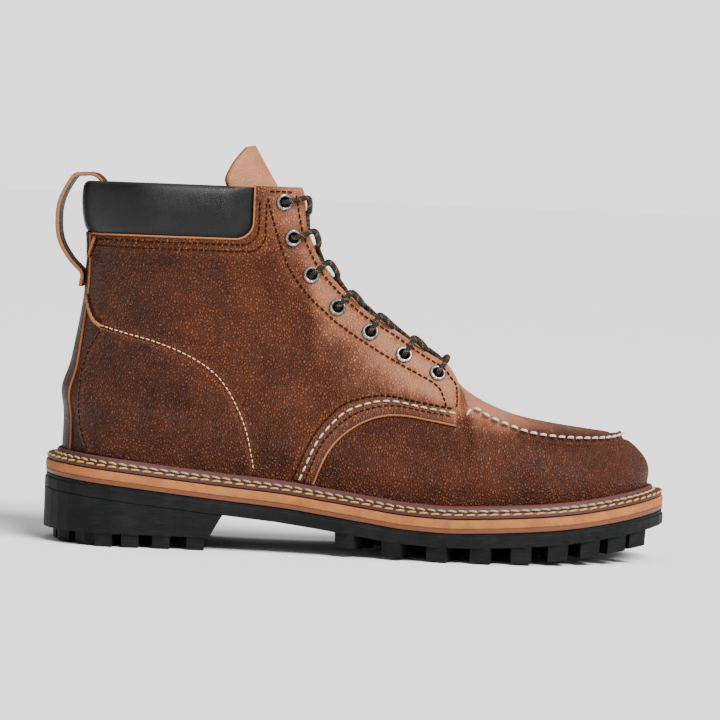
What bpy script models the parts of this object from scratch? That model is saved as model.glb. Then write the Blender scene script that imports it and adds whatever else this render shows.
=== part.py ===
"""Moc toe work boot for the right foot: lugged rubber sole, leather midsole and storm welt
under a laced leather upper with a padded collar. Metres, +Z up, +X to the toe, +Y to the
inner side of the foot. Heights are measured from the floor and lengths from the back of the sole."""

import math

import bmesh
import bpy
import numpy as np
from mathutils import Vector
from mathutils.bvhtree import BVHTree

# Driving sizes
SOLE_LENGTH = 0.303
BALL_WIDTH = 0.111
SHAFT_HEIGHT = 0.175
HEEL_HEIGHT = 0.0247
GAP = 0.0003

# Sole
SHEET_THICKNESS = 0.0066
MIDSOLE_THICKNESS = 0.0066
WELT_THICKNESS = 0.0030
WELT_REACH = 0.0088
RIB_HEIGHT = 0.0028
RIB_WIDTH = 0.0028
INSOLE_THICKNESS = 0.0040
EDGE_STEP = 0.0006
PARTING_DEPTH = 0.0018
MIDSOLE_INSET = 0.0005
WELT_INSET = 0.0009
HEEL_ROUND = 0.128
TOE_ROUND = 0.215
STATION_COUNT = 25
END_STATION = 0.022

# Tread
LUG_TAPER = 0.0005
LUG_ROOT = 0.0012
SIDE_LUG_LENGTH = 0.027
SIDE_LUG_WIDTH = 0.0098
SIDE_LUG_WAIST = 0.78
SIDE_LUG_LEAN = math.radians(14)
SIDE_LUG_COUNT = 9
TREAD_START = 0.485
TREAD_END = 0.955
LUG_EDGE_INSET = 0.0007
CROSS_SIZE = 0.0165
CROSS_ARM = 0.0058
HEEL_LUG_HEIGHT = 0.0062
HEEL_LUG_LENGTH = 0.025
HEEL_LUG_WIDTH = 0.0085
HEEL_BREAST = 0.0885
BREAST_SLOPE = 0.006
HEEL_SIDE_LUGS = 4
HEEL_BACK_LUGS = 5
HEEL_LUGS_BACK = 0.105
HEEL_PIVOT = HEEL_ROUND * SOLE_LENGTH + 0.004
WEDGE_STEP = math.radians(29)
NAIL_RADIUS = 0.024
NAIL_INSET = 0.017
NAIL_HOLE = 0.0026
NAIL_DEPTH = 0.003

# Upper
WALL = 0.0022
BELLY = 0.0026
BELLY_SPREAD = 0.0085
HOLLOW = 0.0050
HOLLOW_CENTRE = 0.72
HOLLOW_SPREAD = 0.21
TOP_SWING = 0.75
SEAM_HEIGHT = 0.0024
SEAM_WIDTH = 0.0030
SEAM_START = 0.630
SEAM_INSET = 0.0150
LEVEL_COUNT = 4
REAR_STATIONS = 8
FRONT_STATIONS = 11
OVERLAY = 0.0013
BACKSTAY_THICKNESS = 0.0008

# Collar, tongue and pull loop
COLLAR_BAND = 0.0255
COLLAR_FRONT = 0.0975
COLLAR_CORNER = 0.0085
COLLAR_THICKNESS = 0.0058
COLLAR_BULGE = 0.0014
TONGUE_THICKNESS = 0.0028
TONGUE_POINTS = 7
TONGUE_HALF = 0.0212
TONGUE_BACK = 0.0100
TONGUE_CURL = 0.0210
TONGUE_RISE = 0.0215
TONGUE_LEAN = 0.60
LOOP_WIDTH = 0.026
LOOP_THICKNESS = 0.0019
LOOP_REACH = 0.0115
LOOP_HEIGHT = 0.052
LOOP_SEWN = 0.007

# Eyelets and lace
EYELET_OUTER = 0.0084
EYELET_BORE = 0.0048
EYELET_RIM = 0.0009
EYELET_BEVEL = 0.0006
EYELET_BARREL = 0.0058
EYELET_STEPS = 8
LACE_DIAMETER = 0.0025
LACE_START = 0.17
LACE_POINTS = 7
LACE_BOW = 0.0010
LACE_REST = LACE_DIAMETER / 2 + 2 * GAP

SOLE_COLUMNS = ("along", "centre", "half", "top", "ground")
SOLE_SECTIONS = (
    # shares: along the length, centre line and half width of the ball width,
    # top of the rubber and lug bottoms of the heel height
    (0.000, 0.000, 0.378, 1.300, 0.000),
    (0.120, 0.000, 0.379, 1.170, 0.000),
    (0.200, -0.004, 0.372, 1.070, 0.000),
    (0.290, -0.018, 0.360, 0.968, 0.300),
    (0.390, -0.045, 0.353, 0.868, 0.270),
    (0.460, -0.056, 0.366, 0.760, 0.205),
    (0.520, -0.058, 0.394, 0.668, 0.140),
    (0.585, -0.050, 0.437, 0.580, 0.042),
    (0.650, -0.030, 0.476, 0.551, 0.000),
    (0.710, -0.006, 0.497, 0.577, 0.000),
    (0.780, 0.022, 0.502, 0.625, 0.040),
    (0.850, 0.048, 0.492, 0.700, 0.125),
    (0.920, 0.068, 0.475, 0.820, 0.250),
    (1.000, 0.085, 0.455, 1.000, 0.440),
)

UPPER_COLUMNS = ("station", "top_x", "top_half", "top_z", "rise", "full", "belly", "hollow", "seam")
UPPER_SECTIONS = (
    # shares: top edge of the sole length, ball width and shaft height, rise in degrees,
    # fullness of the curve, height of the belly, hollow above the heel, place of the moc seam
    (0.000, 0.046, 0.000, 1.000, 90, 0.36, 0.200, 1.00, 0.50),
    (0.070, 0.053, 0.135, 1.000, 90, 0.36, 0.195, 0.85, 0.50),
    (0.140, 0.089, 0.268, 1.000, 90, 0.36, 0.180, 0.45, 0.50),
    (0.210, 0.172, 0.346, 1.000, 90, 0.36, 0.160, 0.25, 0.50),
    (0.270, 0.281, 0.285, 1.000, 90, 0.36, 0.140, 0.10, 0.50),
    (0.319, 0.394, 0.167, 1.000, 90, 0.38, 0.125, 0.00, 0.50),
    (0.370, 0.409, 0.155, 0.880, 84, 0.40, 0.115, 0.00, 0.50),
    (0.420, 0.432, 0.147, 0.797, 74, 0.42, 0.110, 0.00, 0.50),
    (0.460, 0.472, 0.142, 0.718, 62, 0.45, 0.108, 0.00, 0.50),
    (0.500, 0.512, 0.138, 0.661, 52, 0.48, 0.105, 0.00, 0.51),
    (0.540, 0.555, 0.134, 0.617, 45, 0.52, 0.103, 0.00, 0.52),
    (0.575, 0.601, 0.129, 0.565, 38, 0.57, 0.100, 0.00, 0.54),
    (0.605, 0.643, 0.124, 0.520, 30, 0.63, 0.098, 0.00, 0.58),
    (0.618, 0.656, 0.113, 0.488, 24, 0.68, 0.098, 0.00, 0.60),
    (0.632, 0.662, 0.000, 0.470, 0, 0.78, 0.097, 0.00, 0.565),
    (0.660, 0.700, 0.000, 0.424, 0, 0.78, 0.096, 0.00, 0.56),
    (0.710, 0.756, 0.000, 0.388, 0, 0.76, 0.095, 0.00, 0.56),
    (0.770, 0.805, 0.000, 0.372, 0, 0.74, 0.094, 0.00, 0.56),
    (0.840, 0.842, 0.000, 0.363, 0, 0.72, 0.092, 0.00, 0.57),
    (0.920, 0.865, 0.000, 0.358, 0, 0.70, 0.090, 0.00, 0.58),
    (1.000, 0.875, 0.000, 0.356, 0, 0.70, 0.090, 0.00, 0.585),
)

# Stretches of stations that each piece is cut from
WHOLE = (0.0, 1.0)
REAR = (0.0, 0.325)
HEEL_AND_WAIST = (0.0, 0.465)
WAIST_AND_THROAT = (0.365, 0.72)

# Outlines of the overlays seen from the side: shares of the sole length and shaft height
COUNTER_SEAM = (
    (0.335, 0.100), (0.332, 0.255), (0.322, 0.316), (0.307, 0.379), (0.285, 0.443),
    (0.258, 0.489), (0.217, 0.530), (0.170, 0.560), (0.121, 0.581), (0.086, 0.596),
)
COUNTER_BACK = (
    (0.070, 0.543), (0.059, 0.486), (0.055, 0.430), (0.055, 0.380), (0.059, 0.310), (0.071, 0.235),
)
QUARTER_BACK = (
    (0.073, 0.835), (0.062, 0.790), (0.058, 0.735), (0.061, 0.670), (0.072, 0.618),
)
WING_BOTTOM = (
    (0.433, 0.100), (0.433, 0.195), (0.450, 0.266), (0.473, 0.321), (0.507, 0.364), (0.542, 0.385),
    (0.578, 0.387), (0.613, 0.378), (0.655, 0.366),
)
WING_TOP = (
    (0.659, 0.404), (0.643, 0.411), (0.588, 0.425), (0.548, 0.435), (0.517, 0.432),
    (0.482, 0.413), (0.461, 0.382), (0.432, 0.316), (0.405, 0.205), (0.405, 0.100),
)
TONGUE_COLUMNS = ("share", "back", "half", "curl")
TONGUE_SECTIONS = (
    # share up the throat, then from 1 to 2 above the collar; the other columns are shares of
    # the distance behind the eyestay's edge, the half width and the curl of the sides
    (0.00, 0.28, 0.66, 0.08),
    (0.10, 0.36, 0.74, 0.25),
    (0.20, 0.42, 0.76, 0.42),
    (0.45, 0.54, 0.74, 0.68),
    (0.70, 0.68, 0.79, 0.90),
    (0.90, 0.85, 0.97, 0.94),
    (1.00, 1.00, 1.00, 1.00),
    (1.35, 1.00, 0.98, 0.96),
    (1.66, 1.00, 0.82, 0.66),
    (1.90, 1.00, 0.54, 0.30),
    (2.00, 1.00, 0.34, 0.12),
)
EYELET_PLACES = (
    (0.3700, 0.958), (0.3860, 0.860), (0.4175, 0.761), (0.4610, 0.674),
    (0.5145, 0.610), (0.5695, 0.551), (0.6240, 0.503),
)


def clear_scene():
    for obj in list(bpy.data.objects):
        bpy.data.objects.remove(obj)


def make_collection(name):
    collection = bpy.data.collections.new(name)
    bpy.context.scene.collection.children.link(collection)
    return collection


def make_material(name, colour, roughness, metallic=0.0):
    made = bpy.data.materials.new(name)
    made.use_nodes = True
    shader = made.node_tree.nodes["Principled BSDF"]
    shader.inputs["Base Color"].default_value = (*colour, 1.0)
    shader.inputs["Roughness"].default_value = roughness
    shader.inputs["Metallic"].default_value = metallic
    return made


def through(known, values, at):
    """Smooth curve through a table column that never overshoots a row."""
    known = np.asarray(known, float)
    values = np.asarray(values, float)
    at = np.clip(np.asarray(at, float), known[0], known[-1])
    step = np.diff(known)
    rise = np.diff(values) / step
    slope = np.zeros(len(known))
    same = rise[1:] * rise[:-1] > 0
    near = 2 * step[1:] + step[:-1]
    far = step[1:] + 2 * step[:-1]
    left = np.where(same, rise[:-1], 1.0)
    right = np.where(same, rise[1:], 1.0)
    slope[1:-1] = np.where(same, (near + far) / (near / left + far / right), 0.0)
    slope[0] = rise[0]
    slope[-1] = rise[-1]
    row = np.clip(np.searchsorted(known, at, side="right") - 1, 0, len(step) - 1)
    t = (at - known[row]) / step[row]
    start = (1 + 2 * t) * (1 - t) ** 2 * values[row] + t * (1 - t) ** 2 * step[row] * slope[row]
    end = t * t * (3 - 2 * t) * values[row + 1] + t * t * (t - 1) * step[row] * slope[row + 1]
    return start + end


def sole_column(name, x):
    table = np.array(SOLE_SECTIONS)
    return through(table[:, 0], table[:, SOLE_COLUMNS.index(name)], x / SOLE_LENGTH)


def rubber_top(x):
    return sole_column("top", x) * HEEL_HEIGHT


def tread_ground(x):
    return sole_column("ground", x) * HEEL_HEIGHT


def sheet_bottom(x):
    return rubber_top(x) - SHEET_THICKNESS


def midsole_top(x):
    return rubber_top(x) + GAP + MIDSOLE_THICKNESS


def station_x(station):
    return SOLE_LENGTH * (1 - np.cos(math.pi * station)) / 2


def sole_edge(station, side):
    """Plan point of the sole's outline: side -1 is the outer side of the foot, +1 the inner."""
    x = station_x(station)
    share = x / SOLE_LENGTH
    heel = np.clip((HEEL_ROUND - share) / HEEL_ROUND, 0, 1)
    toe = np.clip((share - 1 + TOE_ROUND) / TOE_ROUND, 0, 1)
    round_off = np.sqrt((1 - heel**2) * (1 - toe**2))
    half = sole_column("half", x) * round_off * np.sign(np.sin(math.pi * station)) * side
    return np.stack([x, (sole_column("centre", x) + half) * BALL_WIDTH], axis=-1)


def inset_edge(station, side, inset):
    """The outline moved in along its own normal."""
    step = 0.004
    ahead = sole_edge(station + step, side)
    behind = sole_edge(station - step, side)
    along = ahead - behind
    along /= np.linalg.norm(along, axis=-1, keepdims=True)
    normal = np.stack([along[..., 1], -along[..., 0]], axis=-1) * -side
    return sole_edge(station, side) - normal * inset


def stations():
    return np.linspace(END_STATION, 1 - END_STATION, STATION_COUNT)


def new_object(name, mesh, collection, material=None):
    obj = bpy.data.objects.new(name, mesh)
    collection.objects.link(obj)
    if material is not None:
        mesh.materials.append(material)
    return obj


def mesh_from(name, points, faces):
    mesh = bpy.data.meshes.new(name)
    mesh.from_pydata([tuple(p) for p in points], [], faces)
    made = bmesh.new()
    made.from_mesh(mesh)
    bmesh.ops.remove_doubles(made, verts=made.verts, dist=0.00002)
    bmesh.ops.recalc_face_normals(made, faces=made.faces)
    made.to_mesh(mesh)
    made.free()
    return mesh


def loft(name, rings, closed=False):
    """Skin through rings of equal point counts, with flat ends unless it closes on itself."""
    count = len(rings[0])
    points = [p for ring in rings for p in ring]
    faces = []
    spans = len(rings) if closed else len(rings) - 1
    for i in range(spans):
        here = i * count
        there = ((i + 1) % len(rings)) * count
        for j in range(count):
            k = (j + 1) % count
            faces.append((here + j, here + k, there + k, there + j))
    if not closed:
        faces.append(tuple(range(count))[::-1])
        faces.append(tuple(range(len(points) - count, len(points))))
    return mesh_from(name, points, faces)


def plate_rings(layers, along=None):
    """Rings across the sole: layers are (inset, height function) from the lowest up."""
    rings = []
    for station in stations() if along is None else along:
        outer = [(*inset_edge(station, -1, inset), height) for inset, height in layers]
        inner = [(*inset_edge(station, 1, inset), height) for inset, height in reversed(layers)]
        rings.append([(x, y, float(height(x))) for x, y, height in outer + inner])
    return rings


def add_plate(name, layers, parts, material):
    return new_object(name, loft(name, plate_rings(layers)), parts, material)


def apply_boolean(obj, other, operation):
    modifier = obj.modifiers.new(operation.lower(), "BOOLEAN")
    modifier.operation = operation
    modifier.object = other
    modifier.use_self = True
    graph = bpy.context.evaluated_depsgraph_get()
    mesh = bpy.data.meshes.new_from_object(obj.evaluated_get(graph))
    obj.modifiers.clear()
    obj.data = mesh
    return obj


def as_cutter(obj):
    obj.hide_render = True
    obj.display_type = "WIRE"
    return obj


def waisted_bar(centre, angle, length, width, waist):
    """Outline of a lug: a bar with a narrower middle and a pinched inner end."""
    ends = ((-0.5, 1.0), (-0.12, 1.0), (0.08, waist), (0.28, 1.0), (0.5, waist))
    side = [(a * length, 0.5 * b * width) for a, b in ends]
    outline = side + [(a, -b) for a, b in reversed(side)]
    return turned(outline, centre, angle)


def cross_outline(centre, angle, size, arm):
    """Outline of a cross with four equal arms."""
    outline = []
    for quarter in range(4):
        turn = quarter * math.pi / 2
        corner = ((size / 2, -arm / 2), (size / 2, arm / 2), (arm / 2, arm / 2))
        for a, b in corner:
            outline.append((a * math.cos(turn) - b * math.sin(turn), a * math.sin(turn) + b * math.cos(turn)))
    return turned(outline, centre, angle)


def turned(outline, centre, angle):
    c, s = math.cos(angle), math.sin(angle)
    return [(centre[0] + a * c - b * s, centre[1] + a * s + b * c) for a, b in outline]


def shrink(outline, centre, by):
    """Outline drawn in toward its centre by a small distance."""
    moved = []
    for x, y in outline:
        reach = Vector((x - centre[0], y - centre[1]))
        moved.append((x - by * reach.x / reach.length, y - by * reach.y / reach.length))
    return moved


def add_lug(lugs, outline, foot, root):
    """A lug is a loft from its worn face up into the rubber, wider at the root."""
    centre = np.mean(outline, axis=0)
    low = [(x, y, float(foot(x))) for x, y in shrink(outline, centre, LUG_TAPER)]
    high = [(x, y, float(root(x))) for x, y in outline]
    lugs.append(loft("lug", [low, high]))


def fuse_lugs(obj, lugs, cutters):
    """Join the lugs to the sole in one union."""
    joined = bmesh.new()
    for mesh in lugs:
        joined.from_mesh(mesh)
    mesh = bpy.data.meshes.new(obj.name + "_lugs")
    joined.to_mesh(mesh)
    joined.free()
    tool = as_cutter(new_object(mesh.name, mesh, cutters))
    return apply_boolean(obj, tool, "UNION")


def side_lug_outline(station, side, length, width, lean):
    """A bar that runs in from the sole's edge, square to the outline but for its lean."""
    edge = inset_edge(station, side, LUG_EDGE_INSET)
    inner = inset_edge(station, side, LUG_EDGE_INSET + length)
    inward = math.atan2(inner[1] - edge[1], inner[0] - edge[0]) + lean * side
    centre = edge + 0.5 * length * np.array([math.cos(inward), math.sin(inward)])
    return waisted_bar(centre, inward, length, width, SIDE_LUG_WAIST)


def forefoot_lugs():
    lugs = []
    foot = tread_ground
    spread = station_of(TREAD_START), station_of(TREAD_END)
    for side in (-1, 1):
        for station in np.linspace(*spread, SIDE_LUG_COUNT):
            outline = side_lug_outline(station, side, SIDE_LUG_LENGTH, SIDE_LUG_WIDTH, SIDE_LUG_LEAN)
            add_lug(lugs, outline, foot, lambda x: sheet_bottom(x) + LUG_ROOT)
    return lugs


def station_of(share):
    return math.acos(1 - 2 * share) / math.pi


def cross_places():
    """Crosses down the middle of the tread: one, three pairs, and one at the waist."""
    rows = ((0.865, (0,)), (0.790, (-1, 1)), (0.715, (-1, 1)), (0.640, (-1, 1)), (0.560, (0,)))
    for share, across in rows:
        x = share * SOLE_LENGTH
        centre = float(sole_column("centre", x)) * BALL_WIDTH
        for step in across:
            yield x + 0.003 * step, centre + step * 0.6 * CROSS_SIZE


def make_outsole(parts, cutters, rubber):
    layers = (
        (0.0, sheet_bottom),
        (0.0, lambda x: rubber_top(x) - PARTING_DEPTH),
        (EDGE_STEP, lambda x: rubber_top(x) - PARTING_DEPTH + EDGE_STEP),
        (EDGE_STEP, rubber_top),
    )
    outsole = add_plate("outsole", layers, parts, rubber)
    lugs = forefoot_lugs()
    for place in cross_places():
        outline = cross_outline(place, math.radians(35), CROSS_SIZE, CROSS_ARM)
        add_lug(lugs, outline, tread_ground, lambda x: sheet_bottom(x) + LUG_ROOT)
    return fuse_lugs(outsole, lugs, cutters)


def heel_block_rings():
    """Rings of the heel block from its back to the hollow breast."""
    last = station_of(HEEL_BREAST / SOLE_LENGTH)
    rings = []
    for station in np.linspace(END_STATION, last, 13):
        ring = []
        for side, order in ((-1, (0, 1)), (1, (1, 0))):
            x, y = inset_edge(station, side, 0.0)
            for upper in order:
                pull = BREAST_SLOPE * (x / HEEL_BREAST) ** 8 * (1 - upper)
                height = float(sheet_bottom(x)) - GAP if upper else HEEL_LUG_HEIGHT
                ring.append((x - pull, y, height))
        rings.append(ring)
    return rings


def heel_lugs():
    lugs = []
    foot = lambda x: 0.0
    root = lambda x: HEEL_LUG_HEIGHT + LUG_ROOT
    for side in (-1, 1):
        for station in heel_lug_stations():
            outline = side_lug_outline(station, side, HEEL_LUG_LENGTH, HEEL_LUG_WIDTH, 0.0)
            add_lug(lugs, outline, foot, root)
    for i in range(HEEL_BACK_LUGS):
        turn = math.pi + WEDGE_STEP * (i - (HEEL_BACK_LUGS - 1) / 2)
        add_lug(lugs, wedge_outline(turn), foot, root)
    outline = cross_outline((0.057, 0.0), math.radians(40), CROSS_SIZE, CROSS_ARM)
    add_lug(lugs, outline, foot, root)
    return lugs


def heel_lug_stations():
    front = station_of((HEEL_BREAST - BREAST_SLOPE - HEEL_LUG_WIDTH * 0.75) / SOLE_LENGTH)
    return np.linspace(front, station_of(HEEL_LUGS_BACK), HEEL_SIDE_LUGS)


def wedge_outline(turn):
    """A wedge between two rays from the heel's middle, ending at the sole's round back."""
    near, far = 0.0145, 0.372 * BALL_WIDTH
    corners = ((near, -0.13), (far - 0.0015, -0.195), (far, 0.0), (far - 0.0015, 0.195), (near, 0.13))
    return [(HEEL_PIVOT + r * math.cos(turn + a) * 0.93, r * math.sin(turn + a)) for r, a in corners]


def nail_places():
    """Small holes in the grooves: four between the wedges and two on each side."""
    for i in range(HEEL_BACK_LUGS - 1):
        turn = math.pi + WEDGE_STEP * (i - (HEEL_BACK_LUGS - 2) / 2)
        yield HEEL_PIVOT + NAIL_RADIUS * math.cos(turn), NAIL_RADIUS * math.sin(turn)
    lugs = heel_lug_stations()
    for side in (-1, 1):
        for i in range(1, HEEL_SIDE_LUGS - 1):
            yield tuple(inset_edge((lugs[i] + lugs[i + 1]) / 2, side, NAIL_INSET))


def make_heel_block(parts, cutters, rubber):
    heel = new_object("heel_block", loft("heel_block", heel_block_rings()), parts, rubber)
    fuse_lugs(heel, heel_lugs(), cutters)
    for i, (x, y) in enumerate(nail_places()):
        made = bmesh.new()
        bmesh.ops.create_cone(
            made, cap_ends=True, segments=8, radius1=NAIL_HOLE / 2, radius2=NAIL_HOLE / 2, depth=2 * NAIL_DEPTH
        )
        mesh = bpy.data.meshes.new(f"nail_{i}")
        made.to_mesh(mesh)
        made.free()
        hole = as_cutter(new_object(f"nail_{i}", mesh, cutters))
        hole.location = (x, y, HEEL_LUG_HEIGHT)
        bpy.context.view_layer.update()
        apply_boolean(heel, hole, "DIFFERENCE")
    return heel


def make_midsole(parts, leather):
    layers = ((MIDSOLE_INSET, lambda x: rubber_top(x) + GAP), (MIDSOLE_INSET, midsole_top))
    return add_plate("midsole", layers, parts, leather)


def make_insole(parts, leather):
    inset = WELT_REACH + WALL + 3 * GAP
    layers = (
        (inset, lambda x: midsole_top(x) + GAP),
        (inset, lambda x: midsole_top(x) + GAP + INSOLE_THICKNESS),
    )
    return add_plate("insole", layers, parts, leather)


def make_welt(parts, leather):
    """A flange on the midsole with a rib that stands against the upper."""
    inner = WELT_REACH - 2 * GAP
    rib = inner - RIB_WIDTH
    section = (
        (inner, 0.0), (WELT_INSET, 0.0), (WELT_INSET, WELT_THICKNESS), (rib, WELT_THICKNESS),
        (rib + 0.0004, WELT_THICKNESS + RIB_HEIGHT * 0.7), (inner - 0.0004, WELT_THICKNESS + RIB_HEIGHT),
        (inner, WELT_THICKNESS + RIB_HEIGHT * 0.6),
    )
    around = upper_stations()
    loop = [(station, -1) for station in around] + [(station, 1) for station in around[-2:0:-1]]
    rings = []
    for station, side in loop:
        ring = []
        for inset, height in section:
            x, y = inset_edge(station, side, inset)
            ring.append((x, y, float(midsole_top(x)) + GAP + height))
        rings.append(ring)
    return new_object("welt", loft("welt", rings, closed=True), parts, leather)


def upper_column(name, station):
    table = np.array(UPPER_SECTIONS, float)
    known = table[:, 0]
    values = table[:, UPPER_COLUMNS.index(name)]
    sign = -1 if name == "top_half" else 1
    known = np.concatenate([-known[3:0:-1], known, 2 - known[-2:-5:-1]])
    values = np.concatenate([sign * values[3:0:-1], values, sign * values[-2:-5:-1]])
    return through(known, values, station)


def swing_at(x, z):
    """How far the foot's curve carries the middle of the upper sideways, less toward the top."""
    return float(sole_column("centre", x)) * BALL_WIDTH * TOP_SWING * (1 - min(z / SHAFT_HEIGHT, 1.0) ** 2)


def upper_section(station, side):
    """Section of the upper from the welt to its top edge, as a dense curve."""
    x, y = inset_edge(station, side, WELT_REACH)
    base = np.array([x, y, float(midsole_top(x)) + GAP])
    top_x = float(upper_column("top_x", station)) * SOLE_LENGTH
    top_z = float(upper_column("top_z", station)) * SHAFT_HEIGHT
    half = max(float(upper_column("top_half", station)), 0.0) * BALL_WIDTH
    top = np.array([top_x, swing_at(top_x, top_z) + side * half, top_z])
    full = float(upper_column("full", station))
    rise = math.radians(float(upper_column("rise", station)))
    toe = min(max((station - 0.72) / 0.28, 0.0), 1.0)
    climb = top[2] - base[2]
    low_handle = base + np.array([0.0, 0.0, full * climb])
    across = np.array([(base[0] - top[0]) * toe, base[1] - top[1], 0.0])
    high_handle = top + full * math.cos(rise) * across - np.array([0.0, 0.0, full * math.sin(rise) * climb])
    t = np.linspace(0, 1, 61)[:, None]
    curve = (1 - t) ** 3 * base + 3 * t * (1 - t) ** 2 * low_handle + 3 * t * t * (1 - t) * high_handle + t**3 * top
    outward = inset_edge(station, side, 0.0) - inset_edge(station, side, 0.001)
    outward = np.array([*outward, 0.0]) / 0.001
    height = curve[:, 2:3] - base[2]
    belly = BELLY * np.exp(-(((height - float(upper_column("belly", station)) * SHAFT_HEIGHT) / BELLY_SPREAD) ** 2))
    dip = (curve[:, 2:3] / SHAFT_HEIGHT - HOLLOW_CENTRE) / HOLLOW_SPREAD
    hollow = HOLLOW * float(upper_column("hollow", station)) * np.exp(-(dip**2))
    return curve + outward * (belly - hollow)


def run_length(curve):
    return np.concatenate([[0], np.cumsum(np.linalg.norm(np.diff(curve, axis=0), axis=1))])


def along_section(curve, run, share):
    """Points at shares of a section's length."""
    at = np.clip(share, 0, 1) * run[-1]
    return np.stack([np.interp(at, run, curve[:, i]) for i in range(3)], axis=-1)


def seam_share(station, curve, run):
    """Where the moc seam crosses a section: round the toe it lies a set way in from the welt."""
    share = float(upper_column("seam", station))
    inset = np.hypot(curve[:, 0] - curve[0, 0], curve[:, 1] - curve[0, 1])
    crossing = float(np.interp(SEAM_INSET, inset, run / run[-1]))
    blend = min(max((station - 0.60) / 0.04, 0.0), 1.0)
    return share + (crossing - share) * blend


def section_shares(station, curve, run):
    """Places of the rings up a section, with three of them on the moc seam."""
    length = run[-1]
    rib = (WELT_THICKNESS + RIB_HEIGHT + GAP) / length
    seam = seam_share(station, curve, run)
    edge = SEAM_WIDTH / length
    lower = np.linspace(rib, seam - edge, LEVEL_COUNT)
    upper = np.linspace(seam + edge, 1.0, LEVEL_COUNT)
    return np.concatenate([[0.0], lower, [seam], upper])


def upper_stations():
    """Stations of the upper: even, and one at each corner of the top edge."""
    table = [row[0] for row in UPPER_SECTIONS]
    corners = [row for row in table if 0.3 < row < 0.64]
    rear = list(np.linspace(0, corners[0], REAR_STATIONS)[:-1])
    front = list(np.linspace(corners[-1], 1.0, FRONT_STATIONS)[1:])
    return rear + corners + front


def upper_skin(reach=WHOLE):
    """The outer face of the upper, or of a stretch of it, as an open mesh."""
    made = bmesh.new()
    for side in (-1, 1):
        grid = []
        for station in upper_stations():
            if not reach[0] <= station <= reach[1]:
                continue
            curve = upper_section(station, side)
            run = run_length(curve)
            points = along_section(curve, run, section_shares(station, curve, run))
            raise_seam(points, station)
            grid.append([made.verts.new(p) for p in points])
        for here, there in zip(grid, grid[1:]):
            for j in range(len(here) - 1):
                corners = (here[j], there[j], there[j + 1], here[j + 1])
                made.faces.new(corners if side < 0 else corners[::-1])
    bmesh.ops.remove_doubles(made, verts=made.verts, dist=0.00005)
    bmesh.ops.recalc_face_normals(made, faces=made.faces)
    made.normal_update()
    bmesh.ops.triangulate(made, faces=made.faces, quad_method="FIXED")
    outer = min(made.faces, key=lambda f: f.calc_center_median().y)
    if outer.normal.y > 0:
        bmesh.ops.reverse_faces(made, faces=made.faces)
    made.normal_update()
    return made


def raise_seam(points, station):
    """Lift the middle ring of the moc seam up and out of the surface."""
    middle = LEVEL_COUNT + 1
    lift = SEAM_HEIGHT * min(max((station - SEAM_START) / 0.012, 0.0), 1.0)
    out = points[middle - 1] - points[middle + 1]
    out[2] = 0.0
    out /= max(np.linalg.norm(out), 1e-9)
    points[middle] += lift * (0.45 * out + np.array([0.0, 0.0, 0.9]))


def shell(name, outer, thickness, collection, material=None, reach=WHOLE):
    """The upper's own form pushed out by outer and filled inward by thickness."""
    made = upper_skin(reach)
    faces = list(made.faces)
    rims = [(e.verts[0], e.verts[1]) for e in made.edges if e.is_boundary]
    twin = {}
    for v in list(made.verts):
        twin[v] = made.verts.new(v.co + v.normal * (outer - thickness))
    for face in faces:
        made.faces.new([twin[v] for v in reversed(face.verts)])
    for one, two in rims:
        made.faces.new((one, two, twin[two], twin[one]))
    for v in twin:
        v.co += v.normal * outer
    bmesh.ops.recalc_face_normals(made, faces=made.faces)
    mesh = bpy.data.meshes.new(name)
    made.to_mesh(mesh)
    made.free()
    return new_object(name, mesh, collection, material)


def side_cutter(name, outline, y_from, y_to, cutters):
    """A flat outline seen from the side, cut through from y_from to y_to."""
    near = [(x, y_from, z) for x, z in outline]
    far = [(x, y_to, z) for x, z in outline]
    return as_cutter(new_object(name, loft(name, [near, far]), cutters))


def sized(outline):
    return [(x * SOLE_LENGTH, z * SHAFT_HEIGHT) for x, z in outline]


def collar_outline(inset):
    """Side view of the collar's place: open above, with a round lower front corner."""
    front = COLLAR_FRONT - inset
    low = SHAFT_HEIGHT - COLLAR_BAND + inset
    high = SHAFT_HEIGHT + 0.03
    corner = [(-0.03, high), (-0.03, low)]
    for i in range(5):
        turn = -math.pi / 2 + i * math.pi / 8
        centre = (front - COLLAR_CORNER, low + COLLAR_CORNER)
        corner.append((centre[0] + COLLAR_CORNER * math.cos(turn), centre[1] + COLLAR_CORNER * math.sin(turn)))
    return corner + [(front, high)]


def make_upper(parts, cutters, leather, holes):
    upper = shell("upper", 0.0, WALL, parts, leather)
    notch = side_cutter("collar_notch", collar_outline(0.0), -0.08, 0.08, cutters)
    apply_boolean(upper, notch, "DIFFERENCE")
    apply_boolean(upper, holes, "DIFFERENCE")
    return upper


def make_collar(parts, cutters, leather):
    collar = shell("collar", COLLAR_BULGE, COLLAR_THICKNESS, parts, leather, REAR)
    keep = side_cutter("collar_place", collar_outline(GAP), -0.08, 0.08, cutters)
    return apply_boolean(collar, keep, "INTERSECT")


def make_overlay(name, outline, side, reach, parts, cutters, leather):
    overlay = shell(name, GAP + OVERLAY, OVERLAY, parts, leather, reach)
    near, far = (-0.08, 0.0) if side < 0 else (0.0, 0.08)
    keep = side_cutter(name + "_place", outline, near, far, cutters)
    return apply_boolean(overlay, keep, "INTERSECT")


def above_welt(outline):
    """Keep an outline's foot just over the rib of the welt."""
    lifted = []
    for x, z in outline:
        lowest = float(midsole_top(x)) + WELT_THICKNESS + RIB_HEIGHT + 3 * GAP
        lifted.append((x, max(z, lowest)))
    return lifted


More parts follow.
